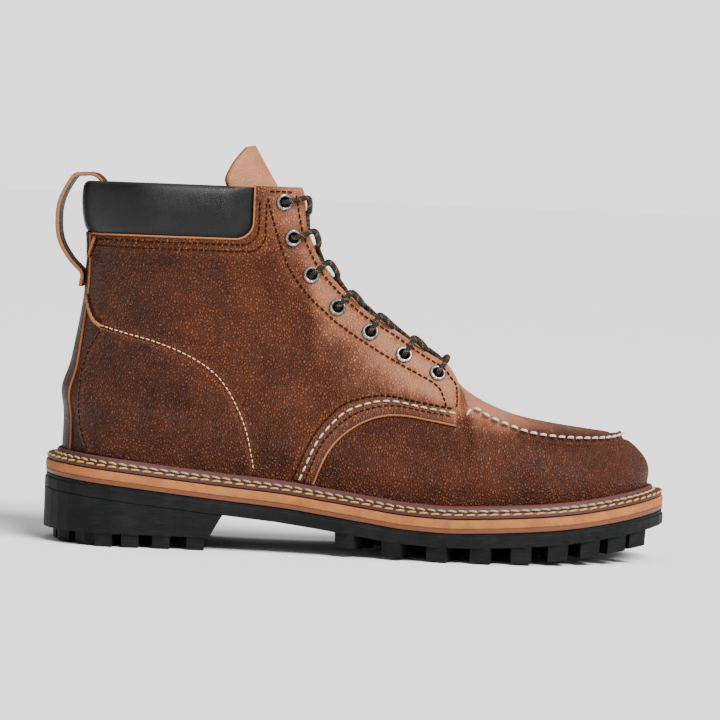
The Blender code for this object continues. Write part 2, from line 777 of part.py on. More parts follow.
def make_overlays(parts, cutters, leather):
    counter = above_welt(sized(COUNTER_SEAM + COUNTER_BACK))
    wing = above_welt(sized(WING_BOTTOM + WING_TOP))
    for name, side in (("lateral", -1), ("medial", 1)):
        make_overlay("counter_" + name, counter, side, HEEL_AND_WAIST, parts, cutters, leather)
        make_overlay("wing_" + name, wing, side, WAIST_AND_THROAT, parts, cutters, leather)


def make_backstay(parts, cutters, leather):
    """The strip up the back, between the panels, up to the collar."""
    gap = 2 * GAP
    edge = [(x - gap, z) for x, z in sized(QUARTER_BACK + ((0.084, 0.596),) + COUNTER_BACK)]
    edge[0] = (edge[0][0], SHAFT_HEIGHT - COLLAR_BAND - gap)
    behind = -COLLAR_FRONT
    outline = above_welt(edge + [(WELT_REACH, 0.0), (behind, 0.0)]) + [(behind, edge[0][1])]
    stay = shell("backstay", GAP + BACKSTAY_THICKNESS, BACKSTAY_THICKNESS, parts, leather, REAR)
    keep = side_cutter("backstay_place", outline, -0.08, 0.08, cutters)
    return apply_boolean(stay, keep, "INTERSECT")


def throat_profile(share):
    """Side view of the eyestay's edge: share 0 at the foot of the throat, 1 at the collar."""
    rows = np.array([row for row in UPPER_SECTIONS if 0.31 < row[0] < 0.625])[::-1]
    run = np.concatenate([[0], np.cumsum(np.hypot(np.diff(rows[:, 1] * SOLE_LENGTH), np.diff(rows[:, 3] * SHAFT_HEIGHT)))])
    x = through(run / run[-1], rows[:, 1] * SOLE_LENGTH, share)
    z = through(run / run[-1], rows[:, 3] * SHAFT_HEIGHT, share)
    half = through(run / run[-1], rows[:, 2] * BALL_WIDTH, share)
    return float(x), float(z), float(half)


def tongue_column(name, share):
    table = np.array(TONGUE_SECTIONS)
    return float(through(table[:, 0], table[:, TONGUE_COLUMNS.index(name)], share))


def tongue_ring(share):
    """Closed section of the tongue: a band curled back along its sides."""
    level = min(share, 1.0)
    x, z, _ = throat_profile(level)
    behind = throat_profile(max(level - 0.03, 0.0))
    ahead = throat_profile(min(level + 0.03, 1.0))
    slope = Vector((ahead[0] - behind[0], ahead[1] - behind[1])).normalized()
    inward = Vector((-slope.y, slope.x))
    past = (share - level) * TONGUE_RISE
    x -= TONGUE_LEAN * past
    z += past
    middle = swing_at(x, z)
    outer, inner = [], []
    for i in range(TONGUE_POINTS):
        across = -1 + 2 * i / (TONGUE_POINTS - 1)
        depth = TONGUE_BACK * tongue_column("back", share) + TONGUE_CURL * tongue_column("curl", share) * across**2
        for ring, extra in ((outer, 0.0), (inner, TONGUE_THICKNESS)):
            reach = depth + extra
            width = across * TONGUE_HALF * tongue_column("half", share)
            ring.append((x + inward.x * reach, middle + width, z + inward.y * reach))
    return outer + inner[::-1]


def make_tongue(parts, leather):
    up_the_throat = list(np.linspace(0.0, 1.0, 9)[:-1])
    above_the_collar = [1.0, 1.35, 1.66, 1.88, 2.0]
    rings = [tongue_ring(share) for share in up_the_throat + above_the_collar]
    return new_object("tongue", loft("tongue", rings), parts, leather)


def back_line(z):
    """Where the back of the upper stands at a height."""
    curve = upper_section(0.0, -1)
    return float(np.interp(z, curve[:, 2], curve[:, 0]))


def pull_loop_path():
    """Inner face of the strap: sewn to the backstay, off behind the collar and over its top."""
    top = SHAFT_HEIGHT
    seat = BACKSTAY_THICKNESS + 3 * GAP
    rear = back_line(top)
    over = COLLAR_THICKNESS - COLLAR_BULGE + 3 * GAP
    sewn = [(back_line(top - drop) - seat, top - drop) for drop in (LOOP_HEIGHT, LOOP_HEIGHT - LOOP_SEWN)]
    # share of the reach off the back, and of the loop's height below the collar's top
    free = ((0.42, 0.74), (0.86, 0.58), (1.00, 0.40), (0.90, 0.20), (0.44, 0.00))
    off = [(rear - reach * LOOP_REACH, top - drop * LOOP_HEIGHT) for reach, drop in free]
    folded = [(rear - COLLAR_BULGE - GAP, top + 2 * GAP), (rear + over, top + 2 * GAP)]
    return sewn + off + folded


def make_pull_loop(parts, leather):
    path = pull_loop_path()
    half = LOOP_WIDTH / 2
    rings = []
    for i, (x, z) in enumerate(path):
        ahead = path[min(i + 1, len(path) - 1)]
        behind = path[max(i - 1, 0)]
        along = Vector((ahead[0] - behind[0], ahead[1] - behind[1])).normalized()
        out = Vector((-along.y, along.x)) * LOOP_THICKNESS
        rings.append([(x, -half, z), (x, half, z), (x + out.x, half, z + out.y), (x + out.x, -half, z + out.y)])
    return new_object("pull_loop", loft("pull_loop", rings), parts, leather)


def seat_on(tree, along, high, side):
    """Point and normal where a round seat clears the skin, found from the side."""
    hits = []
    for i in range(9):
        turn = i * math.pi / 4
        reach = EYELET_OUTER / 2 + 2 * GAP if i < 8 else 0.0
        start = Vector((along + reach * math.cos(turn), side * BALL_WIDTH, high + reach * math.sin(turn)))
        hits.append(tree.ray_cast(start, Vector((0, -side, 0)))[0])
    normal = (hits[4] - hits[0]).cross(hits[6] - hits[2]).normalized()
    if normal.y * side < 0:
        normal = -normal
    lift = max((hit - hits[8]).dot(normal) for hit in hits)
    return hits[8] + normal * (lift + GAP / 2), normal


def eyelet_seats():
    """Name, point and normal for each eyelet."""
    skin = upper_skin()
    tree = BVHTree.FromBMesh(skin)
    seats = []
    for name, side in (("lateral", -1), ("medial", 1)):
        for number, (along, high) in enumerate(EYELET_PLACES, 1):
            place, normal = seat_on(tree, along * SOLE_LENGTH, high * SHAFT_HEIGHT, side)
            seats.append((f"eyelet_{name}_{number}", place, normal))
    skin.free()
    return seats


def make_holes(seats, cutters):
    """One cutter for the eyelets' holes."""
    made = bmesh.new()
    for _, place, normal in seats:
        turn = normal.to_track_quat("Z", "Y").to_matrix().to_4x4()
        turn.translation = place
        bmesh.ops.create_cone(
            made, cap_ends=True, segments=8, radius1=EYELET_BARREL / 2 + GAP, radius2=EYELET_BARREL / 2 + GAP,
            depth=6 * WALL, matrix=turn,
        )
    mesh = bpy.data.meshes.new("eyelet_holes")
    made.to_mesh(mesh)
    made.free()
    return as_cutter(new_object("eyelet_holes", mesh, cutters))


def eyelet_mesh(metal):
    """Turned profile of an eyelet: a rim on the leather and a barrel through it."""
    bore, outer, barrel = EYELET_BORE / 2, EYELET_OUTER / 2, EYELET_BARREL / 2
    profile = (
        (bore, EYELET_RIM), (outer - EYELET_BEVEL, EYELET_RIM), (outer, GAP),
        (barrel, GAP), (barrel, -WALL), (bore, -WALL),
    )
    rings = []
    for i in range(EYELET_STEPS):
        turn = 2 * math.pi * i / EYELET_STEPS
        rings.append([(r * math.cos(turn), r * math.sin(turn), z) for r, z in profile])
    mesh = loft("eyelet", rings, closed=True)
    mesh.materials.append(metal)
    return mesh


def make_eyelets(seats, parts, metal):
    mesh = eyelet_mesh(metal)
    for name, place, normal in seats:
        eyelet = bpy.data.objects.new(name, mesh)
        parts.objects.link(eyelet)
        eyelet.location = place
        eyelet.rotation_mode = "QUATERNION"
        eyelet.rotation_quaternion = normal.to_track_quat("Z", "Y")


def tube(name, path, diameter, collection):
    """A cord as a curve through its points, turned into a welded mesh."""
    curve = bpy.data.curves.new(name, "CURVE")
    curve.dimensions = "3D"
    curve.bevel_depth = diameter / 2
    curve.bevel_resolution = 1
    curve.use_fill_caps = True
    spline = curve.splines.new("POLY")
    spline.points.add(len(path) - 1)
    for point, place in zip(spline.points, path):
        point.co = (*place, 1.0)
    holder = new_object(name + "_curve", curve, collection)
    graph = bpy.context.evaluated_depsgraph_get()
    mesh = bpy.data.meshes.new_from_object(holder.evaluated_get(graph))
    bpy.data.objects.remove(holder)
    made = bmesh.new()
    made.from_mesh(mesh)
    bmesh.ops.remove_doubles(made, verts=made.verts, dist=0.00002)
    made.to_mesh(mesh)
    made.free()
    return mesh


def lace_run(low, high, start_height, bow):
    """Points of one run of lace across the throat, from one eyestay's edge to the other."""
    path = []
    for t in np.linspace(0.0, 1.0, LACE_POINTS):
        place = low[0].lerp(high[0], t)
        out = low[1].lerp(high[1], t).normalized()
        height = start_height + (LACE_REST - start_height) * t + bow * math.sin(math.pi * t)
        path.append(place + out * height)
    return path


def crossing_run(marks, side, level, bow):
    """From just inside its own edge at the lower eyelet to over the other edge at the upper one."""
    low, out = marks[side, level + 1]
    high = marks[-side, level]
    start = low.lerp(high[0], LACE_START)
    return lace_run((start, out), high, -LACE_DIAMETER / 4, bow)


def throat_seats(seats):
    """Point at the eyestay's edge beside each eyelet and the direction out of the throat."""
    marks = {}
    for name, place, normal in seats:
        side = -1 if "lateral" in name else 1
        number = int(name.split("_")[-1])
        best = None
        for share in np.linspace(0, 1, 201):
            x, z, half = throat_profile(share)
            away = math.hypot(x - place.x, z - place.z)
            if best is None or away < best[0]:
                best = (away, share)
        x, z, half = throat_profile(best[1])
        behind = throat_profile(best[1] - 0.02)
        ahead = throat_profile(min(best[1] + 0.02, 1.0))
        slope = Vector((ahead[0] - behind[0], 0, ahead[1] - behind[1])).normalized()
        out = Vector((slope.z, 0, -slope.x))
        marks[side, number] = (Vector((x, swing_at(x, z) + side * half, z)), out)
    return marks


def make_laces(seats, parts, cutters, cord):
    marks = throat_seats(seats)
    count = len(EYELET_PLACES)
    for level in range(1, count):
        first = crossing_run(marks, -1, level, LACE_BOW)
        second = crossing_run(marks, 1, level, LACE_BOW + LACE_DIAMETER / 2)
        crossing = new_object(f"lace_crossing_{level}", tube("first", first, LACE_DIAMETER, cutters), parts, cord)
        other = as_cutter(new_object(f"lace_other_{level}", tube("second", second, LACE_DIAMETER, cutters), cutters))
        apply_boolean(crossing, other, "UNION")
    bar = lace_run(marks[-1, count], marks[1, count], LACE_REST, LACE_BOW)
    new_object("lace_bar", tube("bar", bar, LACE_DIAMETER, cutters), parts, cord)


def stand_at_origin(parts):
    """Carry all parts on one empty, with the middle of the sole over the origin."""
    root = bpy.data.objects.new("boot", None)
    parts.objects.link(root)
    sole = parts.objects["outsole"]
    ys = [v.co.y for v in sole.data.vertices]
    xs = [v.co.x for v in sole.data.vertices]
    root.location = (-(min(xs) + max(xs)) / 2, -(min(ys) + max(ys)) / 2, 0.0)
    for obj in parts.objects:
        if obj != root:
            obj.parent = root
            if obj.type == "MESH" and len(obj.data.polygons) > 0:
                obj.data.set_sharp_from_angle(angle=math.radians(35))


def main():
    clear_scene()
    parts = make_collection("moc_toe_boot")
    cutters = make_collection("cutters")
    leather = make_material("upper_leather", (0.20, 0.065, 0.025), 0.5)
    dark_leather = make_material("collar_leather", (0.012, 0.012, 0.013), 0.42)
    tongue_leather = make_material("tongue_leather", (0.27, 0.10, 0.04), 0.6)
    welt_leather = make_material("welt_leather", (0.12, 0.03, 0.018), 0.55)
    midsole_leather = make_material("midsole_leather", (0.33, 0.14, 0.045), 0.7)
    rubber = make_material("rubber", (0.015, 0.015, 0.016), 0.6)
    insole_leather = make_material("insole_leather", (0.30, 0.17, 0.08), 0.7)
    metal = make_material("eyelet_metal", (0.22, 0.21, 0.20), 0.35, 1.0)
    cord = make_material("lace_cord", (0.025, 0.022, 0.015), 0.85)
    make_outsole(parts, cutters, rubber)
    make_heel_block(parts, cutters, rubber)
    make_midsole(parts, midsole_leather)
    make_welt(parts, welt_leather)
    make_insole(parts, insole_leather)
    seats = eyelet_seats()
    holes = make_holes(seats, cutters)
    make_upper(parts, cutters, leather, holes)
    make_collar(parts, cutters, dark_leather)
    make_overlays(parts, cutters, leather)
    make_backstay(parts, cutters, leather)
    make_tongue(parts, tongue_leather)
    make_pull_loop(parts, leather)
    make_eyelets(seats, parts, metal)
    make_laces(seats, parts, cutters, cord)
    stand_at_origin(parts)


main()
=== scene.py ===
"""Dresses the moc toe boot: leather, edges, stitches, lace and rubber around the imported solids."""

import math

import bmesh
import bpy
import numpy as np
from bpy.props import FloatProperty, FloatVectorProperty
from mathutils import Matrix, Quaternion, Vector
from mathutils.kdtree import KDTree


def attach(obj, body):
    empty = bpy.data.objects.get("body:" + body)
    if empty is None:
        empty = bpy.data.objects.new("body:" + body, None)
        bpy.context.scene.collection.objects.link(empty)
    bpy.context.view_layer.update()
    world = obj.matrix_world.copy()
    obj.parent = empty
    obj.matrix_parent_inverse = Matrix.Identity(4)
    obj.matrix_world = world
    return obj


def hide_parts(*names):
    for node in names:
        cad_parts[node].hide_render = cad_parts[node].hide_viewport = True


bl_info = {
    "name": "Moc toe boot",
    "version": (1, 0, 0),
    "blender": (4, 5, 0),
    "location": "3D View > Sidebar > Boot",
    "description": "Looks of a laced moc toe work boot",
    "category": "Object",
}

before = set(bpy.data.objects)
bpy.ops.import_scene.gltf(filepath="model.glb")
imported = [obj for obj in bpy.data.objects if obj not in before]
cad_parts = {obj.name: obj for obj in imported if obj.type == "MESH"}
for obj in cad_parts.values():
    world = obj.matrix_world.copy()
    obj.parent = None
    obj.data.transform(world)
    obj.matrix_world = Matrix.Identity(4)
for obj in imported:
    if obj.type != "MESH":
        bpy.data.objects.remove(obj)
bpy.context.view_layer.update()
CAD_OBJECTS = dict(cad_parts)

# Sizes shared with the solids, in metres
SOLE_LENGTH = 0.303
BALL_WIDTH = 0.111
SHAFT_HEIGHT = 0.175
HEEL_HEIGHT = 0.0247
GAP = 0.0003
MIDDLE = (0.1515, 0.000991)
MIDSOLE_THICKNESS = 0.0066
WELT_THICKNESS = 0.0030
WELT_REACH = 0.0088
RIB_HEIGHT = 0.0028
RIB_WIDTH = 0.0028
HEEL_ROUND = 0.128
TOE_ROUND = 0.215
WALL = 0.0022
BELLY = 0.0026
BELLY_SPREAD = 0.0085
HOLLOW = 0.0050
HOLLOW_CENTRE = 0.72
HOLLOW_SPREAD = 0.21
TOP_SWING = 0.75
SEAM_HEIGHT = 0.0024
SEAM_START = 0.630
SEAM_INSET = 0.0150
OVERLAY = 0.0013
BACKSTAY_THICKNESS = 0.0008
COLLAR_BAND = 0.0255
COLLAR_FRONT = 0.0975
COLLAR_CORNER = 0.0085
COLLAR_THICKNESS = 0.0058
COLLAR_BULGE = 0.0014
COLLAR_TUCK = 0.0018
TONGUE_HALF = 0.0212
TONGUE_BACK = 0.0100
TONGUE_CURL = 0.0210
TONGUE_RISE = 0.0215
TONGUE_LEAN = 0.60
LOOP_WIDTH = 0.026
LOOP_THICKNESS = 0.0019
LOOP_REACH = 0.0115
LOOP_HEIGHT = 0.052
LOOP_SEWN = 0.007
EYELET_OUTER = 0.0084
EYELET_BORE = 0.0048
BARREL = 0.0036
LACE_DIAMETER = 0.0025

COLLAR_LOW = SHAFT_HEIGHT - COLLAR_BAND

# Section of the padded collar: share of its height and how far it stands out of the upper, in metres
COLLAR_SECTION = (
    (-0.09, -0.0014), (-0.02, -0.0006), (0.02, 0.0004), (0.07, 0.0012), (0.2, 0.0020), (0.42, 0.0024),
    (0.65, 0.0022), (0.84, 0.0016), (0.94, 0.0008), (0.985, -0.0004), (1.0, -0.0018), (1.0, -0.0040),
    (0.975, -0.0054), (0.9, -0.0066), (0.6, -0.0072), (0.3, -0.0068), (-0.09, -0.0052),
)

# Sizes of this script's own detail
SKIN_STATIONS = 190
SKIN_LEVELS = 84
STITCH_SIDES = 6
SEAM_GLOW = 0.0024
RIDGE_WIDTH = 0.00135
GROOVE_AWAY = 0.0034
GROOVE_WIDTH = 0.0014
GROOVE_SHARE = 0.28
HOLE_SIDES = 16
EYELET_STEPS = 40
LACE_POINTS = 1500
LACE_SIDES = 12
SIDE_NAMES = {-1: "lateral", 1: "medial"}

SOLE_COLUMNS = ("along", "centre", "half", "top")
SOLE_SECTIONS = (
    # shares: along the length, centre line and half width of the ball width, top of the heel height
    (0.000, 0.000, 0.378, 1.300),
    (0.120, 0.000, 0.379, 1.170),
    (0.200, -0.004, 0.372, 1.070),
    (0.290, -0.018, 0.360, 0.968),
    (0.390, -0.045, 0.353, 0.868),
    (0.460, -0.056, 0.366, 0.760),
    (0.520, -0.058, 0.394, 0.668),
    (0.585, -0.050, 0.437, 0.580),
    (0.650, -0.030, 0.476, 0.551),
    (0.710, -0.006, 0.497, 0.577),
    (0.780, 0.022, 0.502, 0.625),
    (0.850, 0.048, 0.492, 0.700),
    (0.920, 0.068, 0.475, 0.820),
    (1.000, 0.085, 0.455, 1.000),
)
UPPER_COLUMNS = ("station", "top_x", "top_half", "top_z", "rise", "full", "belly", "hollow", "seam")
UPPER_SECTIONS = (
    # shares: top edge of the sole length, ball width and shaft height, rise in degrees,
    # fullness of the curve, height of the belly, hollow above the heel, place of the moc seam
    (0.000, 0.046, 0.000, 1.000, 90, 0.36, 0.200, 1.00, 0.50),
    (0.070, 0.053, 0.135, 1.000, 90, 0.36, 0.195, 0.85, 0.50),
    (0.140, 0.089, 0.268, 1.000, 90, 0.36, 0.180, 0.45, 0.50),
    (0.210, 0.172, 0.346, 1.000, 90, 0.36, 0.160, 0.25, 0.50),
    (0.270, 0.281, 0.285, 1.000, 90, 0.36, 0.140, 0.10, 0.50),
    (0.319, 0.394, 0.167, 1.000, 90, 0.38, 0.125, 0.00, 0.50),
    (0.370, 0.409, 0.155, 0.880, 84, 0.40, 0.115, 0.00, 0.50),
    (0.420, 0.432, 0.147, 0.797, 74, 0.42, 0.110, 0.00, 0.50),
    (0.460, 0.472, 0.142, 0.718, 62, 0.45, 0.108, 0.00, 0.50),
    (0.500, 0.512, 0.138, 0.661, 52, 0.48, 0.105, 0.00, 0.51),
    (0.540, 0.555, 0.134, 0.617, 45, 0.52, 0.103, 0.00, 0.52),
    (0.575, 0.601, 0.129, 0.565, 38, 0.57, 0.100, 0.00, 0.54),
    (0.605, 0.643, 0.124, 0.520, 30, 0.63, 0.098, 0.00, 0.58),
    (0.618, 0.656, 0.113, 0.488, 24, 0.68, 0.098, 0.00, 0.60),
    (0.632, 0.662, 0.000, 0.470, 0, 0.78, 0.097, 0.00, 0.565),
    (0.660, 0.700, 0.000, 0.424, 0, 0.78, 0.096, 0.00, 0.56),
    (0.710, 0.756, 0.000, 0.388, 0, 0.76, 0.095, 0.00, 0.56),
    (0.770, 0.805, 0.000, 0.372, 0, 0.74, 0.094, 0.00, 0.56),
    (0.840, 0.842, 0.000, 0.363, 0, 0.72, 0.092, 0.00, 0.57),
    (0.920, 0.865, 0.000, 0.358, 0, 0.70, 0.090, 0.00, 0.58),
    (1.000, 0.875, 0.000, 0.356, 0, 0.70, 0.090, 0.00, 0.585),
)
EYELET_PLACES = (
    (0.3700, 0.958), (0.3860, 0.860), (0.4175, 0.761), (0.4610, 0.674),
    (0.5145, 0.610), (0.5695, 0.551), (0.6240, 0.503),
)
TONGUE_COLUMNS = ("share", "back", "half", "curl")
TONGUE_SECTIONS = (
    # share up the throat, then from 1 to 2 above the collar; the rest are shares of the tongue's sizes
    (0.00, 0.28, 0.66, 0.08),
    (0.10, 0.36, 0.74, 0.25),
    (0.20, 0.42, 0.76, 0.42),
    (0.45, 0.54, 0.74, 0.68),
    (0.70, 0.68, 0.79, 0.90),
    (0.90, 0.85, 0.97, 0.94),
    (1.00, 1.00, 1.00, 1.00),
    (1.35, 1.00, 0.98, 0.96),
    (1.66, 1.00, 0.82, 0.66),
    (1.90, 1.00, 0.54, 0.30),
    (2.00, 1.00, 0.34, 0.12),
)

# Lines drawn on the upper in side view: shares of the sole length and shaft height
COUNTER_SEAM = (
    (0.335, 0.225), (0.332, 0.255), (0.322, 0.316), (0.307, 0.379), (0.285, 0.443),
    (0.258, 0.489), (0.217, 0.530), (0.170, 0.560), (0.121, 0.581), (0.088, 0.596),
)
COUNTER_BACK = (
    (0.086, 0.594), (0.071, 0.543), (0.060, 0.486), (0.056, 0.430), (0.056, 0.380), (0.060, 0.310),
    (0.071, 0.250),
)
QUARTER_BACK = (
    (0.073, 0.842), (0.063, 0.790), (0.059, 0.735), (0.062, 0.670), (0.074, 0.618), (0.088, 0.598),
)
WING_EDGE = (
    (0.433, 0.190), (0.450, 0.266), (0.473, 0.321), (0.507, 0.364), (0.542, 0.385),
    (0.578, 0.387), (0.613, 0.378), (0.655, 0.366),
)
WING_TOP = (
    (0.400, 0.200), (0.430, 0.318), (0.460, 0.385), (0.482, 0.415), (0.517, 0.434),
    (0.548, 0.438), (0.590, 0.426), (0.656, 0.408),
)
EYESTAY_STITCH = (
    (0.343, 0.970), (0.355, 0.900), (0.369, 0.827), (0.385, 0.768), (0.413, 0.705), (0.441, 0.661),
    (0.465, 0.627), (0.521, 0.566), (0.572, 0.518), (0.611, 0.484), (0.628, 0.462),
    (0.635, 0.438), (0.640, 0.412),
)

# Front edge of the throat in side view, as shares: places along and heights
THROAT_LINE = (
    (0.20, 0.394, 0.432, 0.512, 0.601, 0.656, 0.720, 0.90),
    (1.20, 1.000, 0.797, 0.661, 0.565, 0.470, 0.400, 0.36),
)

# Soft troughs in the leather: side, start and end in side view, width and depth in metres
CREASES = (
    (-1, (0.330, 0.74), (0.395, 0.60), 0.0085, 0.0011),
    (-1, (0.345, 0.60), (0.430, 0.45), 0.0100, 0.0009),
    (-1, (0.150, 0.78), (0.300, 0.72), 0.0080, 0.0008),
    (-1, (0.130, 0.66), (0.260, 0.63), 0.0075, 0.0006),
    (-1, (0.470, 0.52), (0.560, 0.45), 0.0080, 0.0007),
    (-1, (0.700, 0.34), (0.760, 0.22), 0.0070, 0.0006),
    (1, (0.335, 0.76), (0.410, 0.58), 0.0090, 0.0012),
    (1, (0.360, 0.58), (0.440, 0.44), 0.0100, 0.0010),
    (1, (0.150, 0.76), (0.310, 0.70), 0.0080, 0.0009),
    (1, (0.690, 0.33), (0.750, 0.24), 0.0070, 0.0006),
)


def through(known, values, at):
    """Smooth curve through a table column that never overshoots a row."""
    known = np.asarray(known, float)
    values = np.asarray(values, float)
    at = np.clip(np.asarray(at, float), known[0], known[-1])
    step = np.diff(known)
    rise = np.diff(values) / step
    slope = np.zeros(len(known))
    same = rise[1:] * rise[:-1] > 0
    near = 2 * step[1:] + step[:-1]
    far = step[1:] + 2 * step[:-1]
    left = np.where(same, rise[:-1], 1.0)
    right = np.where(same, rise[1:], 1.0)
    slope[1:-1] = np.where(same, (near + far) / (near / left + far / right), 0.0)
    slope[0] = rise[0]
    slope[-1] = rise[-1]
    row = np.clip(np.searchsorted(known, at, side="right") - 1, 0, len(step) - 1)
    t = (at - known[row]) / step[row]
    start = (1 + 2 * t) * (1 - t) ** 2 * values[row] + t * (1 - t) ** 2 * step[row] * slope[row]
    end = t * t * (3 - 2 * t) * values[row + 1] + t * t * (t - 1) * step[row] * slope[row + 1]
    return start + end


def sole_column(name, x):
    table = np.array(SOLE_SECTIONS)
    return through(table[:, 0], table[:, SOLE_COLUMNS.index(name)], np.asarray(x) / SOLE_LENGTH)


def rubber_top(x):
    return sole_column("top", x) * HEEL_HEIGHT


def midsole_top(x):
    return rubber_top(x) + GAP + MIDSOLE_THICKNESS


def over_rubber(x):
    return float(rubber_top(x)) + GAP


def over_midsole(x):
    return float(midsole_top(x)) + GAP


def sized(line):
    """A line given as shares, in metres along and up."""
    return [(along * SOLE_LENGTH, high * SHAFT_HEIGHT) for along, high in line]


def shared(line):
    """A line given in metres, as shares of the sole length and shaft height."""
    return [(x / SOLE_LENGTH, z / SHAFT_HEIGHT) for x, z in line]


def sole_edge(station, side):
    """Plan point of the sole's outline: side -1 is the outer side of the foot, +1 the inner."""
    x = SOLE_LENGTH * (1 - np.cos(math.pi * station)) / 2
    share = x / SOLE_LENGTH
    heel = np.clip((HEEL_ROUND - share) / HEEL_ROUND, 0, 1)
    toe = np.clip((share - 1 + TOE_ROUND) / TOE_ROUND, 0, 1)
    round_off = np.sqrt((1 - heel**2) * (1 - toe**2))
    half = sole_column("half", x) * round_off * np.sign(np.sin(math.pi * station)) * side
    return np.stack([x, (sole_column("centre", x) + half) * BALL_WIDTH], axis=-1)


def inset_edge(station, side, inset):
    """The outline moved in along its own normal."""
    step = 0.004
    along = sole_edge(station + step, side) - sole_edge(station - step, side)
    along /= np.linalg.norm(along, axis=-1, keepdims=True)
    normal = np.stack([along[..., 1], -along[..., 0]], axis=-1) * -side
    return sole_edge(station, side) - normal * inset


def upper_column(name, station):
    table = np.array(UPPER_SECTIONS, float)
    known = table[:, 0]
    values = table[:, UPPER_COLUMNS.index(name)]
    sign = -1 if name == "top_half" else 1
    known = np.concatenate([-known[3:0:-1], known, 2 - known[-2:-5:-1]])
    values = np.concatenate([sign * values[3:0:-1], values, sign * values[-2:-5:-1]])
    return float(through(known, values, station))


def swing_at(x, z):
    """How far the foot's curve carries the middle of the upper sideways, less toward the top."""
    return float(sole_column("centre", x)) * BALL_WIDTH * TOP_SWING * (1 - min(z / SHAFT_HEIGHT, 1.0) ** 2)


def upper_section(station, side):
    """Section of the upper from the welt to its top edge, as a dense curve."""
    x, y = inset_edge(station, side, WELT_REACH)
    base = np.array([x, y, over_midsole(x)])
    top_x = upper_column("top_x", station) * SOLE_LENGTH
    top_z = upper_column("top_z", station) * SHAFT_HEIGHT
    half = max(upper_column("top_half", station), 0.0) * BALL_WIDTH
    top = np.array([top_x, swing_at(top_x, top_z) + side * half, top_z])
    full = upper_column("full", station)
    rise = math.radians(upper_column("rise", station))
    toe = min(max((station - 0.72) / 0.28, 0.0), 1.0)
    climb = top[2] - base[2]
    low_handle = base + np.array([0.0, 0.0, full * climb])
    across = np.array([(base[0] - top[0]) * toe, base[1] - top[1], 0.0])
    high_handle = top + full * math.cos(rise) * across - np.array([0.0, 0.0, full * math.sin(rise) * climb])
    t = np.linspace(0, 1, 121)[:, None]
    rest = 1 - t
    curve = rest**3 * base + 3 * t * rest**2 * low_handle + 3 * t * t * rest * high_handle + t**3 * top
    outward = inset_edge(station, side, 0.0) - inset_edge(station, side, 0.001)
    outward = np.array([*outward, 0.0]) / 0.001
    height = curve[:, 2:3] - base[2]
    belly_height = upper_column("belly", station) * SHAFT_HEIGHT
    belly = BELLY * np.exp(-(((height - belly_height) / BELLY_SPREAD) ** 2))
    dip = (curve[:, 2:3] / SHAFT_HEIGHT - HOLLOW_CENTRE) / HOLLOW_SPREAD
    hollow = HOLLOW * upper_column("hollow", station) * np.exp(-(dip**2))
    return curve + outward * (belly - hollow)


def run_length(curve):
    return np.concatenate([[0], np.cumsum(np.linalg.norm(np.diff(curve, axis=0), axis=1))])


def at_run(curve, run, at):
    """Points at given lengths along a curve."""
    return np.stack([np.interp(at, run, curve[:, i]) for i in range(3)], axis=-1)


def at_height(curve, z):
    """The place on a section at a height."""
    return np.array([np.interp(z, curve[:, 2], curve[:, i]) for i in range(3)])


def level_seat(station, side, z):
    """A place on the upper at a height, with the level direction out of it."""
    place = at_height(upper_section(station, side), z)
    along = at_height(upper_section(station + 0.004, side), z) - place
    out = np.array([along[1], -along[0], 0.0]) * -side
    return place, out / max(np.linalg.norm(out), 1e-9)


def seam_share(station, curve, run):
    """Where the moc seam crosses a section: round the toe it lies a set way in from the welt."""
    share = upper_column("seam", station)
    inset = np.hypot(curve[:, 0] - curve[0, 0], curve[:, 1] - curve[0, 1])
    crossing = float(np.interp(SEAM_INSET, inset, run / run[-1]))
    blend = min(max((station - 0.60) / 0.04, 0.0), 1.0)
    return share + (crossing - share) * blend


def ease(value, low, high):
    t = np.clip((value - low) / (high - low), 0, 1)
    return t * t * (3 - 2 * t)


def crease_depth(side, x, z):
    """How deep the soft troughs are at points of one side."""
    total = np.zeros(np.shape(x))
    for which, start, end, width, depth in CREASES:
        if which != side:
            continue
        a = np.array([start[0] * SOLE_LENGTH, start[1] * SHAFT_HEIGHT])
        b = np.array([end[0] * SOLE_LENGTH, end[1] * SHAFT_HEIGHT])
        along = b - a
        t = ((x - a[0]) * along[0] + (z - a[1]) * along[1]) / np.dot(along, along)
        inside = np.clip(t, 0, 1)
        away = np.hypot(x - a[0] - inside * along[0], z - a[1] - inside * along[1])
        trough = np.exp(-((away / width) ** 2)) - 0.55 * np.exp(-(((away - 1.7 * width) / width) ** 2))
        total += depth * trough
    return total


